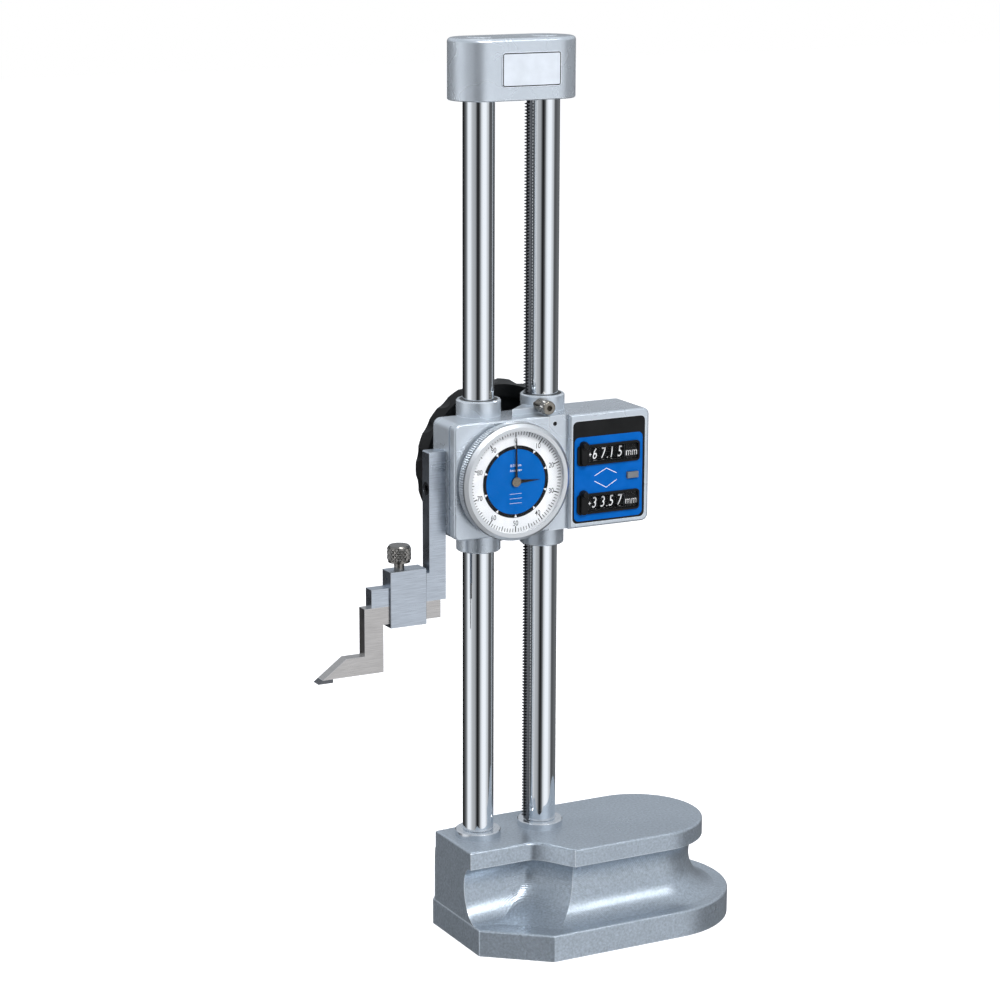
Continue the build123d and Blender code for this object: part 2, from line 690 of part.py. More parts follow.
# ---------------------------------------------------------------- front plate and dial
with BuildPart() as front_plate:
    with BuildSketch(Plane.XZ.offset(-slider_front)):
        with Locations(((slider_left + front_plate_right) / 2, (slider_bottom + slider_top) / 2)):
            Rectangle(front_plate_right - slider_left, slider_height)
    extrude(amount=front_plate_thickness)
    left_corners = front_plate.edges().filter_by(Axis.Y).group_by(Axis.X)[0]
    fillet(left_corners, front_plate_corner)
    front_rim = front_plate.faces().sort_by(Axis.Y)[0].edges()
    fillet(front_rim.sort_by(Axis.X)[:-1], edge_break * 2)
    with BuildSketch(Plane.XZ.offset(-plate_front)):
        with Locations((dial_x, dial_z)):
            Circle(spindle_radius + running_gap)
        with Locations((drive_x, drive_z)):
            Circle(shaft_nose_radius + part_gap)
    extrude(amount=-front_plate_thickness, mode=Mode.SUBTRACT)
    with BuildSketch(Plane.XZ.offset(-plate_front)):
        with Locations((arbor_x, arbor_z)):
            Circle(arbor_radius + running_gap)
    extrude(amount=-arbor_bite, mode=Mode.SUBTRACT)
front_plate.part.label = "front_plate"
export_step(front_plate.part, "parts/front_plate.step")

# Dial pieces are turned about the dial's axis; depth is measured towards the front.
dial_axis = Axis((dial_x, 0, dial_z), (0, 1, 0))
dial_plane = Plane(origin=(dial_x, 0, dial_z), x_dir=(1, 0, 0), z_dir=(0, 0, 1))


def dial_profile(*points):
    """Draw a half section from (radius, distance before the column plane) points."""
    with BuildLine() as section:
        Polyline(*[(radius, -depth) for radius, depth in points], close=True)
    return section


spigot_front = case_back + case_height + spigot_height
dial_front = bezel_front - dial_setback
dial_back = dial_front - dial_thickness
crystal_front = bezel_front - crystal_thickness
crystal_back = crystal_front - crystal_thickness
dial_disc_radius = spigot_radius + 0.2
bezel_back = bezel_front - bezel_height
with BuildPart() as dial_case:
    with BuildSketch(dial_plane):
        add(dial_profile((spindle_tube_radius + part_gap, case_back), (case_radius, case_back),
                         (case_radius, case_back + case_height),
                         (spigot_radius, case_back + case_height),
                         (spigot_radius, spigot_front), (case_inner_radius, spigot_front),
                         (case_inner_radius, case_back + case_floor),
                         (spindle_tube_radius + part_gap, case_back + case_floor)).line)
        make_face()
    revolve(axis=dial_axis)
    with BuildSketch(Plane.XZ.offset(case_back)):
        with Locations((drive_x, drive_z)):
            Circle(shaft_nose_radius + part_gap)
        with Locations((arbor_x, arbor_z)):
            Circle(arbor_radius + running_gap)
    extrude(amount=case_floor, mode=Mode.SUBTRACT)
dial_case.part.label = "dial_case"
export_step(dial_case.part, "parts/dial_case.step")

with BuildPart() as dial_bezel:
    with BuildSketch(dial_plane):
        add(dial_profile((case_radius + bezel_gap, bezel_back), (bezel_radius, bezel_back),
                         (bezel_radius, bezel_front - bezel_slope),
                         (bezel_face, bezel_front), (bezel_lip, bezel_front),
                         (bezel_lip, crystal_front), (dial_disc_radius + hair, crystal_front),
                         (dial_disc_radius + hair, dial_back),
                         (spigot_radius + bezel_gap, dial_back),
                         (spigot_radius + bezel_gap, case_back + case_height + bezel_gap),
                         (case_radius + bezel_gap, case_back + case_height + bezel_gap)).line)
        make_face()
    revolve(axis=dial_axis)
dial_bezel.part.label = "dial_bezel"
export_step(dial_bezel.part, "parts/dial_bezel.step")

with BuildPart() as dial_crystal:
    with BuildSketch(Plane.XZ.offset(crystal_back)):
        with Locations((dial_x, dial_z)):
            Circle(dial_disc_radius)
    extrude(amount=crystal_thickness - hair)
dial_crystal.part.label = "dial_crystal"
export_step(dial_crystal.part, "parts/dial_crystal.step")

with BuildPart() as dial_face:
    with BuildSketch(Plane.XZ.offset(dial_back)):
        with Locations((dial_x, dial_z)):
            Circle(dial_disc_radius)
            Circle(spindle_tube_radius + part_gap, mode=Mode.SUBTRACT)
    extrude(amount=dial_thickness)
dial_face.part.label = "dial_face"
export_step(dial_face.part, "parts/dial_face.step")

# Wheels of the dial's movement. A tooth of the larger wheel meets a gap of the smaller one.
arbor_side = degrees(atan2(arbor_z - drive_z, arbor_x - drive_x))
dial_side = degrees(atan2(dial_z - arbor_z, dial_x - arbor_x))


def wheel_outline(x, z, teeth, distance, other_teeth, meshing_side, tooth_first=False):
    """Corners of a toothed wheel's outline, with a gap or a tooth on the side where it meshes."""
    module = 2 * distance / (teeth + other_teeth)
    radius = module * teeth / 2
    start = meshing_side + (0 if tooth_first else 180 / teeth)
    corners = []
    for tooth in range(teeth):
        middle = start + 360 * tooth / teeth
        for side, step, share in ((-1, -tooth_fall, wheel_root_share), (-1, tooth_rise, wheel_tip_share),
                                  (1, tooth_rise, wheel_tip_share), (1, -tooth_fall, wheel_root_share)):
            angle = radians(middle + side * share * 360 / teeth)
            reach = radius + step * module
            corners.append((x + reach * cos(angle), z + reach * sin(angle)))
    return corners


with BuildPart() as drive_wheel:
    with BuildSketch(Plane.XZ.offset(first_layer)):
        with BuildLine():
            Polyline(*wheel_outline(drive_x, drive_z, drive_wheel_teeth, drive_arbor_distance,
                                    arbor_pinion_teeth, arbor_side, tooth_first=True), close=True)
        make_face()
        with Locations((drive_x, drive_z)):
            Circle(shaft_nose_radius + seat_gap, mode=Mode.SUBTRACT)
    extrude(amount=wheel_thickness)
drive_wheel.part.label = "drive_wheel"
export_step(drive_wheel.part, "parts/drive_wheel.step")

with BuildPart() as dial_arbor:
    with BuildSketch(Plane.XZ.offset(case_back - arbor_bite + part_gap)):
        with Locations((arbor_x, arbor_z)):
            Circle(arbor_radius)
    extrude(amount=third_layer + wheel_thickness + hair - case_back + arbor_bite - part_gap)
    with BuildSketch(Plane.XZ.offset(first_layer)):
        with BuildLine():
            Polyline(*wheel_outline(arbor_x, arbor_z, arbor_pinion_teeth, drive_arbor_distance,
                                    drive_wheel_teeth, arbor_side + 180), close=True)
        make_face()
    extrude(amount=wheel_thickness)
dial_arbor.part.label = "dial_arbor"
export_step(dial_arbor.part, "parts/dial_arbor.step")

with BuildPart() as arbor_wheels:
    for layer, teeth, mate in ((second_layer, arbor_wheel_teeth, spindle_pinion_teeth),
                               (third_layer, arbor_small_teeth, tube_wheel_teeth)):
        with BuildSketch(Plane.XZ.offset(layer)):
            with BuildLine():
                Polyline(*wheel_outline(arbor_x, arbor_z, teeth, arbor_dial_distance, mate,
                                        dial_side, tooth_first=True), close=True)
            make_face()
            with Locations((arbor_x, arbor_z)):
                Circle(arbor_radius + seat_gap, mode=Mode.SUBTRACT)
        extrude(amount=wheel_thickness)
arbor_wheels.part.label = "arbor_wheels"
export_step(arbor_wheels.part, "parts/arbor_wheels.step")

with BuildPart() as tube_wheel:
    with BuildSketch(Plane.XZ.offset(third_layer)):
        with BuildLine():
            Polyline(*wheel_outline(dial_x, dial_z, tube_wheel_teeth, arbor_dial_distance,
                                    arbor_small_teeth, dial_side + 180), close=True)
        make_face()
        with Locations((dial_x, dial_z)):
            Circle(spindle_tube_radius + seat_gap, mode=Mode.SUBTRACT)
    extrude(amount=wheel_thickness)
tube_wheel.part.label = "tube_wheel"
export_step(tube_wheel.part, "parts/tube_wheel.step")

short_pointer_back = dial_front + pointer_air
long_pointer_back = short_pointer_back + pointer_thickness + pointer_air
with BuildPart() as short_pointer:
    with BuildSketch(Plane.XZ.offset(short_pointer_back)):
        with Locations((dial_x, dial_z)):
            Circle(hub_radius)
        with BuildLine():
            Polyline((dial_x, dial_z - short_pointer_root), (dial_x + short_pointer_length, dial_z),
                     (dial_x, dial_z + short_pointer_root), close=True)
        make_face()
        with Locations((dial_x, dial_z)):
            Circle(spindle_tube_radius - hair, mode=Mode.SUBTRACT)
    extrude(amount=pointer_thickness)
short_pointer.part.label = "short_pointer"
export_step(short_pointer.part, "parts/short_pointer.step")

with BuildPart() as short_pointer_tube:
    with BuildSketch(Plane.XZ.offset(third_layer)):
        with Locations((dial_x, dial_z)):
            Circle(spindle_tube_radius)
            Circle(spindle_radius + running_gap, mode=Mode.SUBTRACT)
    extrude(amount=short_pointer_back - third_layer)
    with BuildSketch(Plane.XZ.offset(short_pointer_back)):
        with Locations((dial_x, dial_z)):
            Circle(spindle_tube_radius - 2 * hair)
            Circle(spindle_radius + running_gap, mode=Mode.SUBTRACT)
    extrude(amount=pointer_thickness)
short_pointer_tube.part.label = "short_pointer_tube"
export_step(short_pointer_tube.part, "parts/short_pointer_tube.step")

with BuildPart() as long_pointer:
    with BuildSketch(Plane.XZ.offset(long_pointer_back)):
        with Locations((dial_x, dial_z)):
            Circle(hub_radius)
        with BuildLine():
            Polyline((dial_x - pointer_root, dial_z - pointer_tail),
                     (dial_x + pointer_root, dial_z - pointer_tail),
                     (dial_x + pointer_root, dial_z),
                     (dial_x + pointer_tip, dial_z + pointer_length),
                     (dial_x - pointer_tip, dial_z + pointer_length),
                     (dial_x - pointer_root, dial_z), close=True)
        make_face()
        with Locations((dial_x, dial_z)):
            Circle(spindle_radius + hair, mode=Mode.SUBTRACT)
    extrude(amount=pointer_thickness)
long_pointer.part.label = "long_pointer"
export_step(long_pointer.part, "parts/long_pointer.step")

with BuildPart() as pointer_spindle:
    with BuildSketch(Plane.XZ.offset(-slider_front - spindle_step + part_gap)):
        with Locations((dial_x, dial_z)):
            Circle(spindle_radius)
    extrude(amount=long_pointer_back + pointer_thickness + slider_front + spindle_step - part_gap)
    with BuildSketch(Plane.XZ.offset(long_pointer_back + pointer_thickness)):
        with Locations((dial_x, dial_z)):
            Circle(hub_radius)
    extrude(amount=crystal_back - long_pointer_back - pointer_thickness - pointer_air)
    with BuildSketch(Plane.XZ.offset(second_layer)):
        with BuildLine():
            Polyline(*wheel_outline(dial_x, dial_z, spindle_pinion_teeth, arbor_dial_distance,
                                    arbor_wheel_teeth, dial_side + 180), close=True)
        make_face()
    extrude(amount=wheel_thickness)
pointer_spindle.part.label = "pointer_spindle"
export_step(pointer_spindle.part, "parts/pointer_spindle.step")

# ---------------------------------------------------------------- rack drive
gear_tip = pinion_radius + pinion_addendum
gear_root = pinion_radius - pinion_dedendum - hair
with BuildPart() as feed_pinion:
    with BuildSketch(Plane.XZ.offset(-pinion_width / 2)):
        with Locations((drive_x, drive_z)):
            Circle(pinion_radius - pinion_dedendum)
        for tooth in range(pinion_teeth):
            turn = (tooth + 0.5) * 360 / pinion_teeth
            with BuildLine():
                corners = []
                for side, radius, share in ((-1, gear_root, gear_root_share),
                                            (-1, gear_tip, gear_tip_share),
                                            (1, gear_tip, gear_tip_share),
                                            (1, gear_root, gear_root_share)):
                    angle = radians(turn + side * share * 360 / pinion_teeth)
                    corners.append((drive_x + radius * cos(angle), drive_z + radius * sin(angle)))
                Polyline(*corners, close=True)
            make_face()
        with Locations((drive_x, drive_z)):
            Circle(shaft_radius + seat_gap, mode=Mode.SUBTRACT)
    extrude(amount=pinion_width)
feed_pinion.part.label = "feed_pinion"
export_step(feed_pinion.part, "parts/feed_pinion.step")

drive_axis = Axis((drive_x, 0, drive_z), (0, 1, 0))
drive_plane = Plane(origin=(drive_x, 0, drive_z), x_dir=(1, 0, 0), z_dir=(0, 0, 1))
with BuildPart() as drive_shaft:
    with BuildSketch(drive_plane):
        with BuildLine():
            Polyline((0, -shaft_front), (shaft_nose_radius, -shaft_front),
                     (shaft_nose_radius, -pinion_width / 2), (shaft_radius, -pinion_width / 2),
                     (shaft_radius, handwheel_back), (0, handwheel_back), close=True)
        make_face()
    revolve(axis=drive_axis)
drive_shaft.part.label = "drive_shaft"
export_step(drive_shaft.part, "parts/drive_shaft.step")

with BuildPart() as pinion_cover:
    with BuildSketch(Plane.XZ.offset(-slider_back - cover_thickness)):
        with Locations((0, drive_z)):
            SlotOverall(cover_height, 2 * cover_half_width, rotation=90)
    extrude(amount=cover_thickness)
    with BuildSketch(Plane.XZ.offset(-cover_boss_end)):
        with Locations((drive_x, drive_z)):
            Circle(cover_boss_radius)
    extrude(amount=cover_boss_end - slider_back - cover_thickness)
    with BuildSketch(Plane.XZ.offset(-cover_boss_end)):
        with Locations((drive_x, drive_z)):
            Circle(shaft_radius + running_gap)
        with Locations(*cover_screw_spots):
            Circle(small_screw_radius + seat_gap)
    extrude(amount=cover_boss_end - slider_back, mode=Mode.SUBTRACT)
pinion_cover.part.label = "pinion_cover"
export_step(pinion_cover.part, "parts/pinion_cover.step")

with BuildPart() as cover_screws:
    with BuildSketch(Plane.XZ.offset(-slider_back - cover_thickness - small_head_height)):
        with Locations(*cover_screw_spots):
            Circle(small_head_radius)
    extrude(amount=small_head_height)
    with BuildSketch(Plane.XZ.offset(-slider_back - cover_thickness)):
        with Locations(*cover_screw_spots):
            Circle(small_screw_radius)
    extrude(amount=cover_thickness + small_screw_bite)
    with BuildSketch(Plane.XZ.offset(-slider_back - cover_thickness - small_head_height)):
        with Locations(*cover_screw_spots):
            Rectangle(2 * small_head_radius, small_head_height / 2)
            Rectangle(small_head_height / 2, 2 * small_head_radius)
    extrude(amount=small_head_height / 2, mode=Mode.SUBTRACT)
cover_screws.part.label = "cover_screws"
export_step(cover_screws.part, "parts/cover_screws.step")

web_front = (handwheel_front + handwheel_back - handwheel_web) / 2
with BuildPart() as feed_handwheel:
    with BuildSketch(drive_plane):
        with BuildLine():
            Polyline((shaft_radius + seat_gap, handwheel_hub_front),
                     (handwheel_hub - handwheel_taper, handwheel_hub_front),
                     (handwheel_hub, web_front),
                     (handwheel_radius - handwheel_rim, web_front),
                     (handwheel_radius - handwheel_rim, handwheel_front),
                     (handwheel_radius - handwheel_taper, handwheel_front),
                     (handwheel_radius, handwheel_back - handwheel_taper),
                     (handwheel_radius - handwheel_taper, handwheel_back),
                     (handwheel_radius - handwheel_rim, handwheel_back),
                     (handwheel_radius - handwheel_rim, web_front + handwheel_web),
                     (handwheel_hub, web_front + handwheel_web),
                     (handwheel_hub, handwheel_back),
                     (shaft_radius + seat_gap, handwheel_back), close=True)
        make_face()
    revolve(axis=drive_axis)
    with BuildSketch(Plane.XZ.offset(-handwheel_back)):
        with Locations((drive_x, drive_z)):
            with PolarLocations(handwheel_radius + scallop_radius - handwheel_scallop,
                                handwheel_lobes, start_angle=180 / handwheel_lobes):
                Circle(scallop_radius)
    extrude(amount=handwheel_back - handwheel_front, mode=Mode.SUBTRACT)
feed_handwheel.part.label = "feed_handwheel"
export_step(feed_handwheel.part, "parts/feed_handwheel.step")

with BuildPart() as handwheel_screw:
    with BuildSketch(Plane.XZ.offset(-handwheel_back - hub_screw_proud)):
        with Locations((drive_x, drive_z)):
            Circle(hub_screw_radius)
    extrude(amount=hub_screw_proud)
    chamfer(handwheel_screw.edges().group_by(Axis.Y)[-1], hub_screw_proud / 3)
    with BuildSketch(Plane.XZ.offset(-handwheel_back - hub_screw_proud)):
        with Locations((drive_x, drive_z)):
            Rectangle(2 * hub_screw_radius, hub_screw_proud / 2)
    extrude(amount=hub_screw_proud / 2, mode=Mode.SUBTRACT)
handwheel_screw.part.label = "handwheel_screw"
export_step(handwheel_screw.part, "parts/handwheel_screw.step")

# ---------------------------------------------------------------- counter housing
housing_middle_z = (slider_bottom + slider_top) / 2
panel_middle = ((panel_left + panel_right) / 2, (panel_bottom + panel_top) / 2)
panel_size = (panel_right - panel_left, panel_top - panel_bottom)
overlay_middle = ((overlay_left + overlay_right) / 2, (overlay_bottom + overlay_top) / 2)
overlay_size = (overlay_right - overlay_left, overlay_top - overlay_bottom)
drum_window_middle = (drum_window_left + drum_window_right) / 2
drum_window_width = drum_window_right - drum_window_left
post_spots = [(x, z) for x in (cavity_left + post_radius, cavity_right - post_radius)
              for z in (cavity_bottom + post_radius, cavity_top - post_radius)]


def opening_height(depth, radius):
    """Height of the opening that clears a number drum at this distance before the columns."""
    return 2 * sqrt(radius ** 2 - (depth - drum_axis_depth) ** 2) + part_gap * 3


with BuildPart() as counter_housing:
    with BuildSketch(Plane.XY.offset(slider_bottom)):
        with BuildLine():
            Polyline((housing_left, slider_front - hair), (housing_left, -housing_shoulder),
                     (housing_block, -housing_shoulder), (housing_block, -housing_front),
                     (housing_right, -housing_front), (housing_right, housing_back),
                     (slider_right + hair, housing_back),
                     (slider_right + hair, slider_front - hair), close=True)
        make_face()
    extrude(amount=slider_height)
    fillet(counter_housing.edges().filter_by(Axis.Y).group_by(Axis.X)[-1], housing_corner)
    block_face = counter_housing.faces().filter_by(Axis.Y).sort_by(Axis.Y)[0]
    fillet(block_face.edges(), block_edge)
    with BuildSketch(Plane.XZ.offset(housing_front)):
        with Locations(panel_middle):
            RectangleRounded(*panel_size, panel_corner)
    extrude(amount=-panel_recess, mode=Mode.SUBTRACT)
    with BuildSketch(Plane.XZ.offset(-housing_back)):
        with Locations(((cavity_left + cavity_right) / 2, (cavity_bottom + cavity_top) / 2)):
            Rectangle(cavity_right - cavity_left, cavity_top - cavity_bottom)
        with Locations(*post_spots):
            Rectangle(2 * post_radius, 2 * post_radius, mode=Mode.SUBTRACT)
    extrude(amount=housing_back + cavity_front, mode=Mode.SUBTRACT)
    with BuildSketch(Plane.XZ.offset(drum_axis_depth - drum_radius - part_gap)):
        with Locations(((cavity_left + cavity_right) / 2, (cavity_bottom + cavity_top) / 2)):
            Rectangle(cavity_right - cavity_left, cavity_top - cavity_bottom)
    extrude(amount=cavity_front - drum_axis_depth + drum_radius + part_gap, mode=Mode.SUBTRACT)
    with BuildSketch(Plane.XZ.offset(-housing_back)):
        with Locations(((cavity_left + cavity_right) / 2, (cavity_bottom + cavity_top) / 2)):
            Rectangle(cavity_right - cavity_left, cavity_top - cavity_bottom)
    extrude(amount=cover_plate, mode=Mode.SUBTRACT)
    with BuildSketch(Plane.XZ.offset(-housing_back)):
        with Locations(*post_spots):
            Circle(small_screw_radius + seat_gap)
    extrude(amount=cover_plate + small_screw_bite + part_gap, mode=Mode.SUBTRACT)
    # Openings for the number drums, the reset knobs and the selector button
    with BuildSketch(Plane.XZ.offset(panel_back)):
        with Locations(*[(drum_window_middle, z) for z in counter_heights]):
            Rectangle(drum_window_width, opening_height(cavity_front, drum_radius))
        with Locations((selector_x, selector_z)):
            Rectangle(selector_length + part_gap, selector_height + part_gap)
    extrude(amount=cavity_front - panel_back, mode=Mode.SUBTRACT)
    with BuildSketch(Plane.XZ.offset(panel_back)):
        with Locations(*[(knob_x, z + knob_rise) for z in counter_heights]):
            Circle(knob_radius + part_gap / 2)
    extrude(amount=-knob_depth, mode=Mode.SUBTRACT)
    with BuildSketch(Plane.XZ.offset(housing_shoulder)):
        with Locations((shoulder_screw_x, shoulder_screw_z)):
            Circle(small_screw_radius + seat_gap)
    extrude(amount=-small_screw_bite, mode=Mode.SUBTRACT)
    # Seats for the drum shafts in both side walls
    for shaft_z in counter_heights:
        with BuildSketch(Plane.YZ.offset(slider_right + housing_wall / 2)):
            with Locations((-drum_axis_depth, shaft_z)):
                Circle(drum_shaft_radius + seat_gap)
        extrude(amount=cavity_right - slider_right, mode=Mode.SUBTRACT)
counter_housing.part.label = "counter_housing"
export_step(counter_housing.part, "parts/counter_housing.step")

with BuildPart() as shoulder_screw:
    with BuildSketch(Plane.XZ.offset(housing_shoulder - edge_break / 3)):
        with Locations((shoulder_screw_x, shoulder_screw_z)):
            Circle(small_screw_radius)
    extrude(amount=edge_break - small_screw_bite)
    with BuildSketch(Plane.XZ.offset(housing_shoulder - edge_break / 3)):
        with Locations((shoulder_screw_x, shoulder_screw_z)):
            Rectangle(2 * small_screw_radius, edge_break / 2)
    extrude(amount=-edge_break, mode=Mode.SUBTRACT)
shoulder_screw.part.label = "shoulder_screw"
export_step(shoulder_screw.part, "parts/shoulder_screw.step")

with BuildPart() as counter_panel:
    with BuildSketch(Plane.XZ.offset(panel_back)):
        with Locations(panel_middle):
            RectangleRounded(panel_size[0] - 2 * hair, panel_size[1] - 2 * hair, panel_corner)
        with Locations(*[(drum_window_middle, z) for z in counter_heights]):
            Rectangle(drum_window_width, digit_window_height, mode=Mode.SUBTRACT)
        with Locations((selector_x, selector_z)):
            Rectangle(selector_length + part_gap, selector_height + part_gap, mode=Mode.SUBTRACT)
        with Locations(*[(knob_x, z + knob_rise) for z in counter_heights]):
            Circle(knob_radius + part_gap / 2, mode=Mode.SUBTRACT)
    extrude(amount=panel_thickness)
counter_panel.part.label = "counter_panel"
export_step(counter_panel.part, "parts/counter_panel.step")

with BuildPart() as counter_overlay:
    with BuildSketch(Plane.XZ.offset(panel_front)):
        with Locations(overlay_middle):
            RectangleRounded(*overlay_size, panel_corner)
        with Locations(*[(window_middle, z) for z in counter_heights]):
            RectangleRounded(window_width + hair, window_height + hair, window_corner,
                             mode=Mode.SUBTRACT)
        with Locations(*[(knob_x, z + (post_rise - window_height / 2) / 2)
                         for z in counter_heights]):
            RectangleRounded(post_width + hair, post_rise + window_height / 2 + hair,
                             post_width / 2.2, mode=Mode.SUBTRACT)
        with Locations((selector_x, selector_z)):
            Rectangle(selector_length + part_gap, selector_height + part_gap, mode=Mode.SUBTRACT)
    extrude(amount=overlay_thickness)
counter_overlay.part.label = "counter_overlay"
export_step(counter_overlay.part, "parts/counter_overlay.step")

with BuildPart() as window_frames:
    with BuildSketch(Plane.XZ.offset(panel_front)):
        with Locations(*[(window_middle, z) for z in counter_heights]):
            RectangleRounded(window_width, window_height, window_corner)
    extrude(amount=window_front - panel_front)
    with BuildSketch(Plane.XZ.offset(panel_front)):
        with Locations(*[(knob_x, z + (post_rise - window_height / 2) / 2)
                         for z in counter_heights]):
            RectangleRounded(post_width, post_rise + window_height / 2, post_width / 2.2)
    extrude(amount=window_front - panel_front + post_proud)
    fillet(window_frames.faces().filter_by(Axis.Y).group_by(Axis.Y)[0].edges(), edge_break)
    with BuildSketch(Plane.XZ.offset(window_front)):
        with Locations(*[((lens_left + lens_right) / 2, z) for z in counter_heights]):
            RectangleRounded(lens_right - lens_left, lens_height, window_corner / 2)
    extrude(amount=panel_front - window_front, mode=Mode.SUBTRACT)
    with BuildSketch(Plane.XZ.offset(window_front + post_proud)):
        with Locations(*[(knob_x, z + knob_rise) for z in counter_heights]):
            Circle(knob_radius + part_gap / 2)
    extrude(amount=panel_front - window_front - post_proud, mode=Mode.SUBTRACT)
window_frames.part.label = "window_frames"
export_step(window_frames.part, "parts/window_frames.step")

with BuildPart() as window_lenses:
    with BuildSketch(Plane.XZ.offset(panel_front + hair)):
        with Locations(*[((lens_left + lens_right) / 2, z) for z in counter_heights]):
            RectangleRounded(lens_right - lens_left - 2 * hair, lens_height - 2 * hair,
                             window_corner / 2)
    extrude(amount=window_front - panel_front - edge_break / 2)
window_lenses.part.label = "window_lenses"
export_step(window_lenses.part, "parts/window_lenses.step")

with BuildPart() as upper_number_drums:
    for drum in range(drum_count):
        with BuildSketch(Plane.YZ.offset(drum_first_x + drum * drum_pitch - drum_width / 2)):
            with Locations((-drum_axis_depth, counter_upper_z)):
                Circle(drum_radius)
                Circle(drum_shaft_radius + seat_gap, mode=Mode.SUBTRACT)
        extrude(amount=drum_width)
upper_number_drums.part.label = "upper_number_drums"
export_step(upper_number_drums.part, "parts/upper_number_drums.step")

with BuildPart() as lower_number_drums:
    for drum in range(drum_count):
        with BuildSketch(Plane.YZ.offset(drum_first_x + drum * drum_pitch - drum_width / 2)):
            with Locations((-drum_axis_depth, counter_lower_z)):
                Circle(drum_radius)
                Circle(drum_shaft_radius + seat_gap, mode=Mode.SUBTRACT)
        extrude(amount=drum_width)
lower_number_drums.part.label = "lower_number_drums"
export_step(lower_number_drums.part, "parts/lower_number_drums.step")

with BuildPart() as drum_shafts:
    for shaft_z in counter_heights:
        with BuildSketch(Plane.YZ.offset(slider_right + housing_wall / 2 + hair)):
            with Locations((-drum_axis_depth, shaft_z)):
                Circle(drum_shaft_radius)
        extrude(amount=cavity_right - slider_right - 2 * hair)
drum_shafts.part.label = "drum_shafts"
export_step(drum_shafts.part, "parts/drum_shafts.step")

with BuildPart() as upper_reset_knob:
    with BuildSketch(Plane.XZ.offset(window_front + post_proud + knob_proud)):
        with Locations((knob_x, counter_upper_z + knob_rise)):
            Circle(knob_radius)
    extrude(amount=panel_back - knob_depth + knob_travel + part_gap
            - (window_front + post_proud + knob_proud))
    fillet(upper_reset_knob.edges().group_by(Axis.Y)[0], edge_break)
upper_reset_knob.part.label = "upper_reset_knob"
export_step(upper_reset_knob.part, "parts/upper_reset_knob.step")

with BuildPart() as lower_reset_knob:
    with BuildSketch(Plane.XZ.offset(window_front + post_proud + knob_proud)):
        with Locations((knob_x, counter_lower_z + knob_rise)):
            Circle(knob_radius)
    extrude(amount=panel_back - knob_depth + knob_travel + part_gap
            - (window_front + post_proud + knob_proud))
    fillet(lower_reset_knob.edges().group_by(Axis.Y)[0], edge_break)
lower_reset_knob.part.label = "lower_reset_knob"
export_step(lower_reset_knob.part, "parts/lower_reset_knob.step")

with BuildPart() as selector_button:
    with BuildSketch(Plane.XZ.offset(overlay_front + selector_proud)):
        with Locations((selector_x, selector_z)):
            Rectangle(selector_length, selector_height)
    extrude(amount=-selector_proud - selector_depth)
    fillet(selector_button.faces().sort_by(Axis.Y)[0].edges(), edge_break / 2)
selector_button.part.label = "selector_button"
export_step(selector_button.part, "parts/selector_button.step")

with BuildPart() as counter_back_cover:
    with BuildSketch(Plane.XZ.offset(-housing_back)):
        with Locations(((cavity_left + cavity_right) / 2, (cavity_bottom + cavity_top) / 2)):
            Rectangle(cavity_right - cavity_left - 2 * hair, cavity_top - cavity_bottom - 2 * hair)
        with Locations(*post_spots):
            Circle(small_screw_radius + seat_gap, mode=Mode.SUBTRACT)
    extrude(amount=cover_plate)
counter_back_cover.part.label = "counter_back_cover"
export_step(counter_back_cover.part, "parts/counter_back_cover.step")

with BuildPart() as counter_cover_screws:
    with BuildSketch(Plane.XZ.offset(-housing_back - small_head_height)):
        with Locations(*post_spots):
            Circle(small_head_radius)
    extrude(amount=small_head_height)
    with BuildSketch(Plane.XZ.offset(-housing_back)):
        with Locations(*post_spots):
            Circle(small_screw_radius)
    extrude(amount=cover_plate + small_screw_bite)
    with BuildSketch(Plane.XZ.offset(-housing_back - small_head_height)):
        with Locations(*post_spots):
            Rectangle(2 * small_head_radius, small_head_height / 2)
            Rectangle(small_head_height / 2, 2 * small_head_radius)
    extrude(amount=small_head_height / 2, mode=Mode.SUBTRACT)
counter_cover_screws.part.label = "counter_cover_screws"
export_step(counter_cover_screws.part, "parts/counter_cover_screws.step")

# ---------------------------------------------------------------- jaw and scriber
clamp_middle_y = arm_front + bar_depth / 2
clamp_front = arm_front - hair - clamp_wall
clamp_back = arm_front + bar_depth + hair + clamp_wall
with BuildPart() as jaw_arm:
    with BuildSketch(Plane.XZ.offset(-arm_front)):
        with BuildLine():
            Polyline((slider_left - hair, arm_top), (arm_left, arm_top), (arm_left, bar_root),
                     (arm_left - bar_root_length, bar_root), (arm_left - bar_root_length, bar_top),
                     (bar_end, bar_top), (bar_end, bar_bottom), (slider_left - hair, bar_bottom),
                     close=True)
        make_face()
    extrude(amount=-arm_depth)
    with Locations((arm_left, arm_front + bar_depth, bar_bottom)):
        Box(arm_left - bar_end, arm_depth, bar_root - bar_bottom, mode=Mode.SUBTRACT,
            align=(Align.MAX, Align.MIN, Align.MIN))
    chamfer(jaw_arm.edges().filter_by(Axis.Y).group_by(Axis.Z)[-1], edge_break)
    with BuildSketch(Plane.YZ.offset(arm_left)):
        with Locations((arm_screw_y, arm_screw_z)):
            Circle(arm_screw_head + part_gap / 2)
    extrude(amount=arm_screw_recess, mode=Mode.SUBTRACT)
    with BuildSketch(Plane.YZ.offset(arm_left)):
        with Locations((arm_screw_y, arm_screw_z)):
            Circle(arm_screw_radius + seat_gap)
    extrude(amount=arm_width, mode=Mode.SUBTRACT)
jaw_arm.part.label = "jaw_arm"
export_step(jaw_arm.part, "parts/jaw_arm.step")

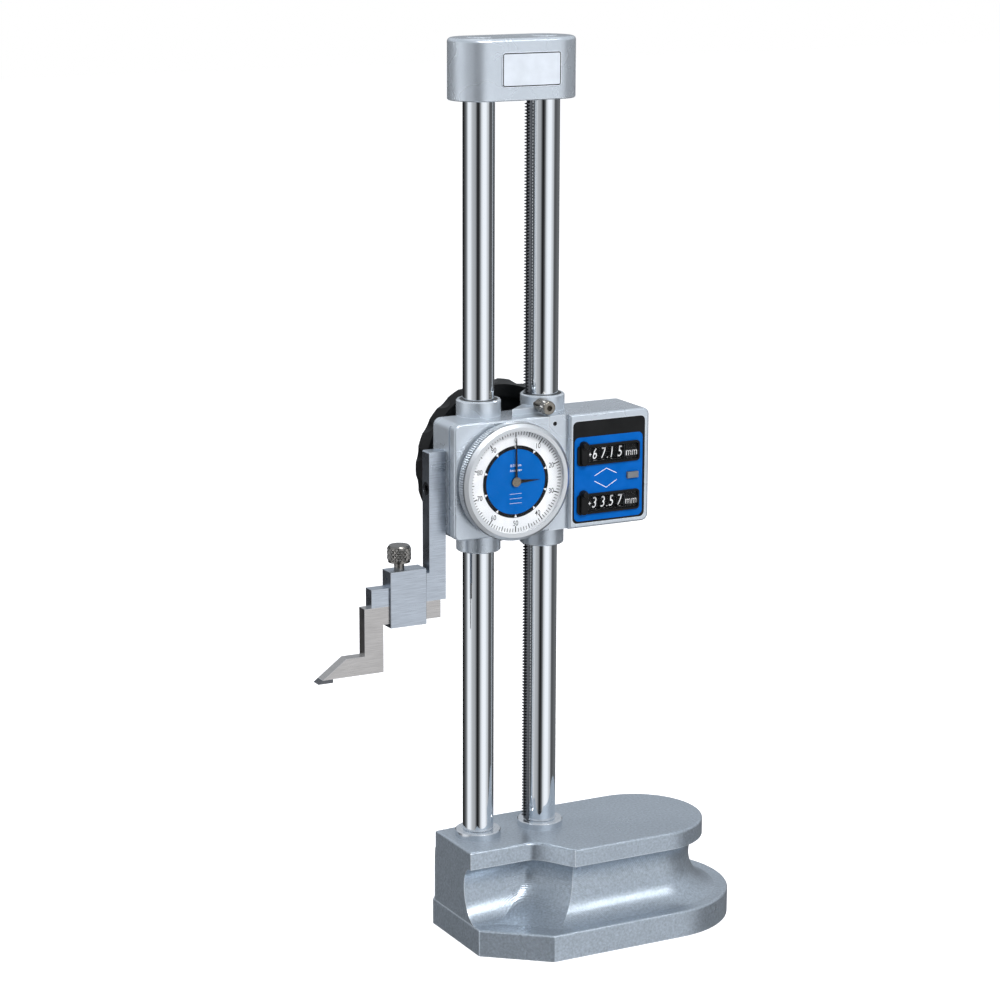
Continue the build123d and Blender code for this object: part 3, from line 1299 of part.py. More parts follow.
with BuildPart() as arm_screw:
    with BuildSketch(Plane.YZ.offset(arm_left + part_gap)):
        with Locations((arm_screw_y, arm_screw_z)):
            Circle(arm_screw_head)
    extrude(amount=arm_screw_recess - part_gap)
    with BuildSketch(Plane.YZ.offset(arm_left + arm_screw_recess)):
        with Locations((arm_screw_y, arm_screw_z)):
            Circle(arm_screw_radius)
    extrude(amount=arm_width - arm_screw_recess + arm_screw_bite)
    with BuildSketch(Plane.YZ.offset(arm_left + part_gap)):
        with Locations((arm_screw_y, arm_screw_z)):
            RegularPolygon(arm_screw_head / 2, 6, major_radius=False)
    extrude(amount=arm_screw_recess / 2, mode=Mode.SUBTRACT)
arm_screw.part.label = "arm_screw"
export_step(arm_screw.part, "parts/arm_screw.step")

with BuildPart() as clamp_box:
    with BuildSketch(Plane.YZ.offset(clamp_left)):
        with BuildLine():
            Polyline((clamp_front, clamp_bottom), (clamp_front, clamp_top),
                     (clamp_back, clamp_top), (clamp_back, clamp_bottom), close=True)
        make_face()
        with BuildLine():
            Polyline((arm_front - hair, bar_top + hair), (arm_front + bar_depth + hair, bar_top + hair),
                     (arm_front + bar_depth + hair, scriber_top + hair),
                     (arm_front + scriber_depth + hair, scriber_top + hair),
                     (arm_front + scriber_depth + hair, clamp_bottom + clamp_floor),
                     (arm_front - hair, clamp_bottom + clamp_floor), close=True)
        make_face(mode=Mode.SUBTRACT)
    extrude(amount=clamp_right - clamp_left)
    clamp_verticals = clamp_box.edges().filter_by(Axis.Z)
    chamfer(clamp_verticals.group_by(Axis.Y)[0] + clamp_verticals.group_by(Axis.Y)[-1],
            edge_break / 2)
    with Locations((clamp_knob_x, clamp_middle_y, clamp_top)):
        Cylinder(clamp_thread_radius + running_gap, clamp_top - bar_top, mode=Mode.SUBTRACT,
                 align=(Align.CENTER, Align.CENTER, Align.MAX))
    with BuildSketch(Plane.YZ.offset(clamp_left)):
        with Locations((clamp_middle_y, (bar_top + clamp_top) / 2)):
            Circle(pin_hole_radius)
    extrude(amount=clamp_thread_radius, mode=Mode.SUBTRACT)
clamp_box.part.label = "clamp_box"
export_step(clamp_box.part, "parts/clamp_box.step")

with BuildPart() as clamp_screw:
    with Locations((clamp_knob_x, clamp_middle_y, bar_top + hair)):
        Cylinder(clamp_thread_radius, clamp_top - bar_top - hair + part_gap,
                 align=(Align.CENTER, Align.CENTER, Align.MIN))
    with Locations((clamp_knob_x, clamp_middle_y, clamp_top + hair)):
        Cylinder(clamp_neck_radius, clamp_neck_height,
                 align=(Align.CENTER, Align.CENTER, Align.MIN))
    with Locations((clamp_knob_x, clamp_middle_y, clamp_top + clamp_neck_height)):
        Cylinder(clamp_knob_radius, clamp_knob_height,
                 align=(Align.CENTER, Align.CENTER, Align.MIN))
    chamfer(clamp_screw.edges().filter_by(GeomType.CIRCLE).group_by(Axis.Z)[-1], edge_break * 2,
            edge_break)
clamp_screw.part.label = "clamp_screw"
export_step(clamp_screw.part, "parts/clamp_screw.step")

carbide_top = tip_z + carbide_thickness
foot_run = foot_slope_x - tip_x
carbide_tip_top_x = tip_x + foot_run * carbide_thickness / (foot_top - tip_z)
with BuildPart() as scriber:
    with BuildSketch(Plane.XZ.offset(-arm_front)):
        with BuildLine():
            Polyline((scriber_right, scriber_top), (scriber_left, scriber_top),
                     (scriber_left, foot_top), (foot_slope_x, foot_top),
                     (carbide_tip_top_x, carbide_top + hair),
                     (scriber_left + scriber_leg, carbide_top + hair),
                     (scriber_left + scriber_leg, scriber_top - scriber_height),
                     (scriber_right, scriber_top - scriber_height), close=True)
        make_face()
    extrude(amount=-scriber_depth)
    chamfer(scriber.edges().filter_by(Axis.Y).group_by(Axis.X)[-1], edge_break / 2)
scriber.part.label = "scriber"
export_step(scriber.part, "parts/scriber.step")

with BuildPart() as carbide_tip:
    with BuildSketch(Plane.XZ.offset(-arm_front)):
        with BuildLine():
            Polyline((tip_x, tip_z), (carbide_tip_top_x, carbide_top),
                     (tip_x + carbide_length, carbide_top), (tip_x + carbide_length, tip_z),
                     close=True)
        make_face()
    extrude(amount=-scriber_depth)
carbide_tip.part.label = "carbide_tip"
export_step(carbide_tip.part, "parts/carbide_tip.step")
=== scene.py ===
"""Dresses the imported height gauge: finishes, printed faces, knurls, camera and studio.

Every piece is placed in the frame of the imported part, in metres, from sizes that are written here
in millimetres. The pieces of the part keep their shapes and get node materials. The printing on the
dial, the digits on the number drums and the knurled bands are meshes of their own.
"""
import json
import logging
import math
from dataclasses import dataclass, field
from enum import Enum
from typing import Any, Iterable, Optional, Sequence, Union

import bmesh
import bpy
from mathutils import Matrix, Vector


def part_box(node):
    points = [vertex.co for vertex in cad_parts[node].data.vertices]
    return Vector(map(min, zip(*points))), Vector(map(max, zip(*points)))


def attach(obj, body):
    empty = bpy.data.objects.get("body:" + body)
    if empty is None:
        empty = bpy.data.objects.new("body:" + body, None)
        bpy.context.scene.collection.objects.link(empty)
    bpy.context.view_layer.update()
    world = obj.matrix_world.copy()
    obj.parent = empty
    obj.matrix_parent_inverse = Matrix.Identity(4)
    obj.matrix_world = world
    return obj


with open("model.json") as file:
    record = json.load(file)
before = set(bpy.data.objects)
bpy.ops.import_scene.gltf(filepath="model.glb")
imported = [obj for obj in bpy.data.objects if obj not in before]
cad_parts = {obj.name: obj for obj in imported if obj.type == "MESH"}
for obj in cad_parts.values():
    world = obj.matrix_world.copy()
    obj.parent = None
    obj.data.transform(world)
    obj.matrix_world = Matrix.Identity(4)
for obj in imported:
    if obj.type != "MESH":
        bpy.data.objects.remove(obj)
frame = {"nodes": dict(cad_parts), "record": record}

logging.basicConfig(level=logging.INFO, format="%(levelname)s %(message)s")
log = logging.getLogger("height_gauge")

MM = 0.001
# The cosine between a face's normal and the rounded one where an edge begins and where it is full
EDGE_BEGINS = 0.995
EDGE_FULL = 0.90
# How far a roughness varies each way, in enamel, along grinding lines and in plastic
PAINT_SPREAD = 0.04
LINE_SPREAD = 0.04
PLASTIC_SPREAD = 0.05
# The numbers of a Mix node's inputs for its share and its two colours, and what makes it mix them
SHARE, UNDER, OVER = 0, 6, 7
COLOURS = {"output": 2, "data_type": "RGBA"}

Point = tuple[float, float]
Place = tuple[float, float, float]
Colour = tuple[float, float, float, float]
Socket = bpy.types.NodeSocket
Value = Union[float, Sequence[float], Socket]
Inputs = Union[dict[Any, Value], Sequence[Value]]


class Body(str, Enum):
    """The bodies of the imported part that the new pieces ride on."""

    STAND = "stand"
    SLIDER = "slider"
    BEZEL = "bezel"
    LOCK = "lock"
    CLAMP_KNOB = "clamp_knob"


class Axis(Enum):
    """The directions in which a knurled band can run from its start."""

    FRONT = "front"
    UP = "up"


def linear(code: str) -> Colour:
    """Turns an sRGB hex colour into the linear values that a shader takes.

    Args:
        code: Six hex digits, with or without a leading hash.

    Returns:
        Red, green and blue in linear light, and an alpha of one.
    """
    code = code.lstrip("#")
    values = [int(code[i:i + 2], 16) / 255 for i in (0, 2, 4)]
    r, g, b = (v / 12.92 if v <= 0.04045 else ((v + 0.055) / 1.055) ** 2.4 for v in values)
    return (r, g, b, 1.0)


def scaled(colour: Colour, factor: float, lift: float = 0.0) -> Colour:
    """A colour with its red, green and blue times a factor and lifted, at most one each."""
    return tuple(min(c * factor + lift, 1.0) for c in colour[:3]) + (1.0,)


class NodeTree:
    """A node tree, with one short call that adds and links its nodes."""

    def __init__(self, owner: bpy.types.ID) -> None:
        """Empties the owner's tree.

        Args:
            owner: The world or the material.
        """
        owner.use_nodes = True
        self.tree = owner.node_tree
        self.tree.nodes.clear()

    def add(self, kind: str, inputs: Inputs = (), output: Union[int, str] = 0,
            **settings: Any) -> Optional[Socket]:
        """Adds a node, sets its settings, and sets or links its inputs.

        Args:
            kind: The node's type name after ShaderNode.
            inputs: Values or output sockets, in the inputs' order or by input name or number.
            output: The name or number of the output that is asked for.
            **settings: Properties of the node.

        Returns:
            The output, or None for a node that has none.
        """
        node = self.tree.nodes.new(f"ShaderNode{kind}")
        for name, value in settings.items():
            setattr(node, name, value)
        for key, value in inputs.items() if isinstance(inputs, dict) else enumerate(inputs):
            if isinstance(value, Socket):
                self.tree.links.new(value, node.inputs[key])
            else:
                node.inputs[key].default_value = value
        return node.outputs[output] if node.outputs else None


class Shader(NodeTree):
    """One node material and the patterns that the finishes share."""

    def __init__(self, name: str) -> None:
        """Starts an empty material with a name."""
        self.material = bpy.data.materials.new(name)
        super().__init__(self.material)

    def place(self, size_mm: float, stretch: Sequence[float] = (1, 1, 1)) -> Socket:
        """Coordinates on the object in units of a pattern's real size.

        Args:
            size_mm: The pattern's size in millimetres.
            stretch: How many times closer the pattern lies along each axis.

        Returns:
            The vector socket.
        """
        coordinates = self.add("TexCoord", output="Object")
        scale = [s / (size_mm * MM) for s in stretch]
        return self.add("Mapping", {"Vector": coordinates, "Scale": scale})

    def spots(self, size_mm: float, detail: float = 2.0, stretch: Sequence[float] = (1, 1, 1),
              rough: float = 0.5) -> Socket:
        """A pattern of spots of a real size, or of lines where it is stretched.

        Args:
            size_mm: The size of its spots in millimetres.
            detail: The number of finer layers.
            stretch: How many times closer the pattern lies along each axis.
            rough: The strength of the finer layers.

        Returns:
            The pattern's value, from 0 to 1.
        """
        return self.add("TexNoise", {
            "Vector": self.place(size_mm, stretch), "Scale": 1.0, "Detail": detail,
            "Roughness": rough})

    def edges(self, radius_mm: float) -> Socket:
        """Where a surface bends sharply: the mask of the highlight that the finishes paint along
        edges.

        Args:
            radius_mm: How far from the edge it reaches.

        Returns:
            0 on faces and 1 on sharp edges.
        """
        bent = self.add("Bevel", {"Radius": radius_mm * MM}, samples=4)
        flat = self.add("NewGeometry", output="Normal")
        alike = self.add("VectorMath", (bent, flat), "Value", operation="DOT_PRODUCT")
        return self.add("MapRange", (alike, EDGE_BEGINS, EDGE_FULL))

    def close(self, inputs: Inputs) -> bpy.types.Material:
        """Ends the material in a Principled shader.

        Args:
            inputs: Its colour, roughness, normal and what else the finish sets.

        Returns:
            The finished material.
        """
        surface = self.add("BsdfPrincipled", inputs)
        self.add("OutputMaterial", {"Surface": surface})
        return self.material


class Finish:
    """A finish that knows how to make its material."""

    name: str

    def build(self) -> bpy.types.Material:
        """Makes the material."""
        raise NotImplementedError


@dataclass(frozen=True)
class SilverPaint(Finish):
    """Silver baked enamel over a casting: metal flake, a sandy grain and a painted highlight along
    the edges.

    Attributes:
        name: The material's name.
        colour: The enamel's middle colour.
        grain_mm: The size of the grain.
        depth_mm: The height of the grain.
        flake: How much the flake varies the colour.
        metallic: The share of metal in the look.
        roughness: The middle roughness.
        ripple_depth_mm: The depth of the curved tool marks that the casting keeps under the enamel.
    """

    name: str
    colour: str
    grain_mm: float
    depth_mm: float
    flake: float
    metallic: float
    roughness: float
    ripple_depth_mm: float = 0.0

    GRAIN_ROUGH = 0.6
    CLOUD_MM = 26.0
    CLOUD_SHARE = 0.12
    # The ranges of a pattern that flake, clouding and gloss take up
    FLAKE_RANGE = (0.22, 0.78)
    CLOUD_RANGE = (0.30, 0.70)
    GLOSS_RANGE = (0.25, 0.75)
    CLOUD = linear("#8E979F")
    # Painted highlight along sharp edges: how far it reaches, how much it covers and its colour
    EDGE_HIGHLIGHT_MM = 0.9
    EDGE_HIGHLIGHT_SHARE = 0.85
    EDGE_HIGHLIGHT = linear("#EEF3F8")
    RIPPLE_MM = 1.7
    # Where the tool marks begin and end: above the flange, below the top, right of the left end
    RIPPLE_LOW = (15.0, 18.0)
    RIPPLE_HIGH = (46.0, 42.0)
    RIPPLE_LEFT = (-39.4, -38.8)

    def marks(self, shader: Shader) -> Socket:
        """The curved tool marks in the long coves.

        Args:
            shader: The material's shader.

        Returns:
            Their height, 0 outside the coves.
        """
        height = shader.add("TexWave", {
            "Vector": shader.place(self.RIPPLE_MM), "Scale": 0.5, "Distortion": 1.6,
            "Detail": 1.0, "Detail Scale": 0.4}, "Fac", wave_type="RINGS", rings_direction="Y")
        for axis, span in (("Z", self.RIPPLE_LOW), ("Z", self.RIPPLE_HIGH),
                           ("X", self.RIPPLE_LEFT)):
            along = shader.add("SeparateXYZ", (shader.place(1.0),), axis)
            inside = shader.add("MapRange", (along, *span))
            height = shader.add("Math", (height, inside), operation="MULTIPLY")
        return height

    def build(self) -> bpy.types.Material:
        """Makes the material.

        Returns:
            The new material.
        """
        shader = Shader(self.name)
        grain = shader.spots(self.grain_mm, rough=self.GRAIN_ROUGH)
        cloud = shader.spots(self.CLOUD_MM)
        base = linear(self.colour)
        glint = shader.add("MapRange", (grain, *self.FLAKE_RANGE))
        dark, bright = scaled(base, 1 - self.flake / 2), scaled(base, 1 + self.flake)
        colour = shader.add("Mix", {SHARE: glint, UNDER: dark, OVER: bright}, **COLOURS)
        dim = shader.add("MapRange", (cloud, *self.CLOUD_RANGE, 0.0, self.CLOUD_SHARE))
        colour = shader.add("Mix", {SHARE: dim, UNDER: colour, OVER: self.CLOUD}, **COLOURS)
        # Painted highlight: the edges lightened towards a pale colour
        edge_highlight = shader.add("Math", (shader.edges(self.EDGE_HIGHLIGHT_MM), self.EDGE_HIGHLIGHT_SHARE),
                          operation="MULTIPLY")
        colour = shader.add("Mix", {SHARE: edge_highlight, UNDER: colour, OVER: self.EDGE_HIGHLIGHT}, **COLOURS)
        normal = shader.add("Bump", {"Height": grain, "Distance": self.depth_mm * MM})
        if self.ripple_depth_mm:
            normal = shader.add("Bump", {"Height": self.marks(shader), "Normal": normal,
                                         "Distance": self.ripple_depth_mm * MM})
        rough = shader.add("MapRange", (cloud, *self.GLOSS_RANGE, self.roughness - PAINT_SPREAD,
                                        self.roughness + PAINT_SPREAD))
        return shader.close({"Base Color": colour, "Metallic": self.metallic,
                             "Roughness": rough, "Normal": normal})


@dataclass(frozen=True)
class Steel(Finish):
    """Bare or plated metal with its grinding lines.

    Attributes:
        name: The material's name.
        colour: The metal's colour.
        roughness: The middle roughness.
        line_mm: The distance between grinding lines.
        depth_mm: The depth of the lines.
        shade: How much the lines vary the colour.
        lines: How many times closer the pattern lies along each axis; lines run where it is small.
        stain: How much the slow clouding varies the roughness.
        edge_mm: How far the painted highlight reaches from an edge, or 0 for none.
    """

    name: str
    colour: str
    roughness: float
    line_mm: float
    depth_mm: float
    shade: float
    lines: Sequence[float] = (1, 1, 1)
    stain: float = 0.05
    edge_mm: float = 0.0

    LINE_DETAIL = 3.0
    LINE_ROUGH = 0.65
    CLOUD_MM = 14.0
    # The range of a pattern that colour and gloss take up
    RANGE = (0.3, 0.7)
    # Painted highlight along sharp edges: how much it covers and its colour
    EDGE_HIGHLIGHT_SHARE = 0.7
    EDGE_HIGHLIGHT = linear("#F2F5F8")

    def build(self) -> bpy.types.Material:
        """Makes the material.

        Returns:
            The new material.
        """
        shader = Shader(self.name)
        lines = shader.spots(self.line_mm, self.LINE_DETAIL, self.lines, self.LINE_ROUGH)
        cloud = shader.spots(self.CLOUD_MM)
        base = linear(self.colour)
        light = shader.add("MapRange", (lines, *self.RANGE))
        dark, bright = scaled(base, 1 - self.shade), scaled(base, 1 + self.shade)
        colour = shader.add("Mix", {SHARE: light, UNDER: dark, OVER: bright}, **COLOURS)
        # Painted highlight: the edges lightened towards a pale colour
        if self.edge_mm:
            edge_highlight = shader.add("Math", (shader.edges(self.edge_mm), self.EDGE_HIGHLIGHT_SHARE),
                              operation="MULTIPLY")
            colour = shader.add("Mix", {SHARE: edge_highlight, UNDER: colour, OVER: self.EDGE_HIGHLIGHT}, **COLOURS)
        stain = shader.add("MapRange", (cloud, *self.RANGE, -self.stain, self.stain))
        along = shader.add("MapRange", (lines, *self.RANGE, self.roughness - LINE_SPREAD,
                                        self.roughness + LINE_SPREAD))
        rough = shader.add("Math", (stain, along), operation="ADD")
        normal = shader.add("Bump", {"Height": lines, "Distance": self.depth_mm * MM})
        return shader.close({"Base Color": colour, "Metallic": 1.0, "Roughness": rough,
                             "Normal": normal})


@dataclass(frozen=True)
class Plastic(Finish):
    """Moulded plastic, enamel or printing ink with a fine grain and handling marks.

    Attributes:
        name: The material's name.
        colour: The middle colour.
        roughness: The middle roughness.
        grain_mm: The size of the mould's grain.
        depth_mm: The height of the grain.
        coat: The weight of a clear coat.
        specular: The strength of its plain reflection.
    """

    name: str
    colour: str
    roughness: float
    grain_mm: float
    depth_mm: float
    coat: float = 0.0
    specular: float = 0.5

    MARKS_MM = 9.0
    MARKS_DETAIL = 3.0
    # The ranges of the marks' pattern that colour and gloss take up
    COLOUR_RANGE = (0.35, 0.7)
    GLOSS_RANGE = (0.3, 0.7)
    # How much lighter the handling marks are, and what they add to black
    MARKS_FACTOR = 1.12
    MARKS_LIFT = 0.004

    def build(self) -> bpy.types.Material:
        """Makes the material.

        Returns:
            The new material.
        """
        shader = Shader(self.name)
        grain = shader.spots(self.grain_mm)
        marks = shader.spots(self.MARKS_MM, self.MARKS_DETAIL)
        base = linear(self.colour)
        lighter = scaled(base, self.MARKS_FACTOR, self.MARKS_LIFT)
        rubbed = shader.add("MapRange", (marks, *self.COLOUR_RANGE))
        colour = shader.add("Mix", {SHARE: rubbed, UNDER: base, OVER: lighter}, **COLOURS)
        rough = shader.add("MapRange", (marks, *self.GLOSS_RANGE, self.roughness - PLASTIC_SPREAD,
                                        self.roughness + PLASTIC_SPREAD))
        normal = shader.add("Bump", {"Height": grain, "Distance": self.depth_mm * MM})
        return shader.close({
            "Base Color": colour, "Roughness": rough, "Normal": normal,
            "Coat Weight": self.coat, "Specular IOR Level": self.specular})


@dataclass(frozen=True)
class Clear(Finish):
    """A thin clear window, with faint wiping marks in its gloss.

    Attributes:
        name: The material's name.
        colour: The tint.
        alpha: How much of what lies behind it is covered.
    """

    name: str
    colour: str
    alpha: float

    WIPES_MM = 5.0
    WIPES_DETAIL = 3.0
    WIPES_STRETCH = (1, 1, 0.3)
    WIPES_RANGE = (0.35, 0.75)
    # The least and the most, as shares of alpha and as roughness
    ALPHA_SHARES = (0.7, 1.3)
    ROUGHNESS = (0.02, 0.08)

    def build(self) -> bpy.types.Material:
        """Makes the material.

        Returns:
            The new material.
        """
        shader = Shader(self.name)
        wipes = shader.spots(self.WIPES_MM, self.WIPES_DETAIL, self.WIPES_STRETCH)
        covered = [self.alpha * share for share in self.ALPHA_SHARES]
        return shader.close({
            "Base Color": linear(self.colour),
            "Alpha": shader.add("MapRange", (wipes, *self.WIPES_RANGE, *covered)),
            "Roughness": shader.add("MapRange", (wipes, *self.WIPES_RANGE, *self.ROUGHNESS))})


class Ink(Enum):
    """Screen printing inks on flat faces: even colours with a dull shine."""

    BLACK = Plastic(
        "ink_black", "#0C0D0E", roughness=0.5, grain_mm=0.5, depth_mm=0.002, specular=0.2)
    BLUE = Plastic(
        "ink_blue", "#0062B6", roughness=0.5, grain_mm=0.5, depth_mm=0.002, specular=0.06)
    WHITE = Plastic("ink_white", "#F4F5F5", roughness=0.5, grain_mm=0.5, depth_mm=0.002)


Inks = dict[Ink, bpy.types.Material]

# Grain and grinding lines that would be too fine to show are as coarse as they need to be
FINISHES: dict[str, Finish] = {
    # Silver baked enamel on a sand casting: metal flake over a sandy grain, a painted highlight
    # along the edges
    "cast_paint": SilverPaint(
        "cast_enamel", "#A7B1BB", grain_mm=1.4, depth_mm=0.09, flake=0.38, metallic=0.72,
        roughness=0.30, ripple_depth_mm=0.05),
    # The same enamel on milled castings: smoother and paler, with an even sheen
    "satin_paint": SilverPaint(
        "satin_enamel", "#CAD2DA", grain_mm=0.6, depth_mm=0.006, flake=0.05, metallic=0.66,
        roughness=0.27),
    # Hard chrome, ground and polished: a mirror with faint lines round the columns
    "polished_steel": Steel(
        "hard_chrome", "#F0F4F8", roughness=0.05, line_mm=0.5, lines=(1, 1, 1.6), depth_mm=0.0004,
        shade=0.015, stain=0.015),
    # Milled and oiled steel: dark and half matt
    "rack_steel": Steel(
        "rack_steel", "#66686C", roughness=0.36, line_mm=0.3, lines=(1, 1, 2), depth_mm=0.006,
        shade=0.12),
    # Blackened steel: nearly black under an oily sheen
    "black_steel": Plastic(
        "blackened_steel", "#131416", roughness=0.36, grain_mm=0.2, depth_mm=0.004, specular=0.3),
    # White enamel on sheet metal: cool white, a weak gloss
    "label_white": Plastic(
        "label_enamel", "#CCD2D9", roughness=0.45, grain_mm=0.6, depth_mm=0.002, coat=0.1),
    # Nickel plate: a warm grey shine
    "nickel": Steel(
        "nickel_plate", "#8A8783", roughness=0.2, line_mm=0.25, depth_mm=0.004, shade=0.10),
    # Satin chrome: a soft and bright band round the dial
    "chrome_bezel": Steel(
        "satin_chrome", "#E4E7EA", roughness=0.42, line_mm=0.3, depth_mm=0.003, shade=0.05),
    # Acrylic watch crystal: only its reflections show
    "crystal": Clear("crystal", "#20262C", alpha=0.03),
    # White printed dial: flat and bright
    "dial_print": Plastic("dial_white", "#F2F4F6", roughness=0.5, grain_mm=0.8, depth_mm=0.002),
    # Turned brass gone dull: a grey with a little yellow
    "brass": Steel("hub_brass", "#8C8478", roughness=0.3, line_mm=0.2, depth_mm=0.004, shade=0.1),
    # Steel, surface ground: long fine lines and a painted highlight along the edges
    "brushed_steel": Steel(
        "brushed_steel", "#BEC6D0", roughness=0.32, line_mm=0.55, lines=(0.05, 1, 1.6),
        depth_mm=0.012, shade=0.20, edge_mm=0.35),
    # Hardened tool steel, surface ground: the same lines and painted edge highlight in a warmer
    # grey
    "ground_steel": Steel(
        "ground_steel", "#C2BFBD", roughness=0.32, line_mm=0.55, lines=(0.05, 1, 1.5),
        depth_mm=0.012, shade=0.18, edge_mm=0.35),
    # Cemented carbide, ground: darker than steel, with a dull shine
    "carbide": Steel("carbide", "#6A6C70", roughness=0.3, line_mm=0.1, depth_mm=0.002, shade=0.08),
    # Moulded black plastic: deep black with soft highlights
    "black_plastic": Plastic(
        "black_plastic", "#08090A", roughness=0.40, grain_mm=0.35, depth_mm=0.010, specular=0.22),
    # Moulded grey plastic: even and half matt
    "grey_plastic": Plastic(
        "grey_plastic", "#6E7174", roughness=0.42, grain_mm=0.3, depth_mm=0.006),
    # Blue printed plastic film: an even blue with hardly any shine
    "blue_overlay": Plastic(
        "blue_overlay", "#005CB0", roughness=0.5, grain_mm=0.6, depth_mm=0.002, specular=0.06),
    # Clear acrylic window: hardly visible
    "lens": Clear("lens", "#14181C", alpha=0.04),
    # Moulded black number drums: dull, so that the digits stand out
    "number_black": Plastic(
        "number_black", "#060708", roughness=0.5, grain_mm=0.3, depth_mm=0.002, specular=0.1),
}


def ring_points(radius: float, count: int) -> list[Point]:
    """Points round a circle, in order."""
    turns = [2 * math.pi * i / count for i in range(count)]
    return [(radius * math.cos(t), radius * math.sin(t)) for t in turns]


def rectangle(u: float, v: float, half_width: float, half_height: float) -> list[Point]:
    """The corners of a rectangle, counterclockwise from its lower left."""
    return [(u + a * half_width, v + b * half_height)
            for a, b in ((-1, -1), (1, -1), (1, 1), (-1, 1))]


def hoop(count: int) -> list[tuple[int, int, int, int]]:
    """The faces between an outer and an inner loop, numbered one after the other."""
    return [(i, (i + 1) % count, count + (i + 1) % count, count + i) for i in range(count)]


@dataclass
class Piece:
    """A mesh piece that gathers faces in the part's frame and then rides on a body.

    Attributes:
        name: The piece's name.
        body: The body it rides on.
        material: Its material.
        slot: The record's material slot; not used.
        vertices: Its vertices so far, in metres.
        faces: Its faces so far, as numbers of its vertices.
    """

    name: str
    body: Body
    material: bpy.types.Material
    slot: str
    vertices: list[Vector] = field(default_factory=list)
    faces: list[list[int]] = field(default_factory=list)

    def polygon(self, points: Iterable[Sequence[float]]) -> None:
        """Adds one face, its corners in millimetres and counterclockwise from the front."""
        corners = list(points)
        self.shape(corners, [range(len(corners))])

    def shape(self, vertices: Sequence[Sequence[float]], faces: Iterable[Sequence[int]]) -> None:
        """Adds a group of faces that share vertices.

        Args:
            vertices: The places of its vertices in millimetres.
            faces: Its faces, as numbers of its own vertices.
        """
        start = len(self.vertices)
        self.vertices += [Vector(v) * MM for v in vertices]
        self.faces += [[start + i for i in face] for face in faces]

    def finish(self) -> None:
        """Makes the object with flat faces, lets it ride on its body, and reports it."""
        mesh = bpy.data.meshes.new(self.name)
        mesh.from_pydata(self.vertices, [], self.faces)
        mesh.materials.append(self.material)
        obj = bpy.data.objects.new(self.name, mesh)
        bpy.context.scene.collection.objects.link(obj)
        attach(obj, self.body.value)
        log.info("%s: %d faces on %s", self.name, len(self.faces), self.body.value)


class Lettering:
    """Flat shapes of digits and signs, scaled to a real height."""

    def __init__(self, weight: float) -> None:
        """Starts with no shapes made, and strokes bolder than the plain face's by weight."""
        self.weight = weight
        self.made: dict[str, bpy.types.Mesh] = {}

    def mesh(self, text: str) -> bpy.types.Mesh:
        """The flat mesh of a text at size one.

        Args:
            text: The digits or signs.

        Returns:
            A mesh in the XY plane that starts at the baseline.
        """
        if text not in self.made:
            curve = bpy.data.curves.new("lettering", "FONT")
            curve.body = text
            curve.align_x = "CENTER"
            curve.offset = self.weight
            holder = bpy.data.objects.new("lettering", curve)
            self.made[text] = bpy.data.meshes.new_from_object(holder)
            bpy.data.objects.remove(holder)
        return self.made[text]

    def outline(self, text: str, height: float, width: float = 1.0, slant: float = 0.0,
                cuts: int = 0) -> tuple[list[Point], list[list[int]]]:
        """Vertices and faces of a text of a given height, with its middle at the origin.

        Args:
            text: The digits or signs.
            height: The height of a digit in millimetres.
            width: How much narrower or wider it is than the plain face.
            slant: How far it leans, as a share of its height.
            cuts: How many level cuts divide it, for a text that is bent.

        Returns:
            The places and the faces.
        """
        work = bmesh.new()
        work.from_mesh(self.mesh(text))
        zero = self.mesh("0").vertices
        low = min(v.co.y for v in zero)
        tall = max(v.co.y for v in zero) - low
        for i in range(1, cuts + 1):
            level = low + tall * i / (cuts + 1)
            bmesh.ops.bisect_plane(work, geom=[*work.verts, *work.edges, *work.faces],
                                   plane_co=(0, level, 0), plane_no=(0, 1, 0))
        scale = height / tall
        work.verts.index_update()
        rises = [(v.co.y - low) * scale - height / 2 for v in work.verts]
        points = [(v.co.x * scale * width + slant * rise, rise)
                  for v, rise in zip(work.verts, rises)]
        faces = [[v.index for v in f.verts] for f in work.faces]
        work.free()
        return points, faces


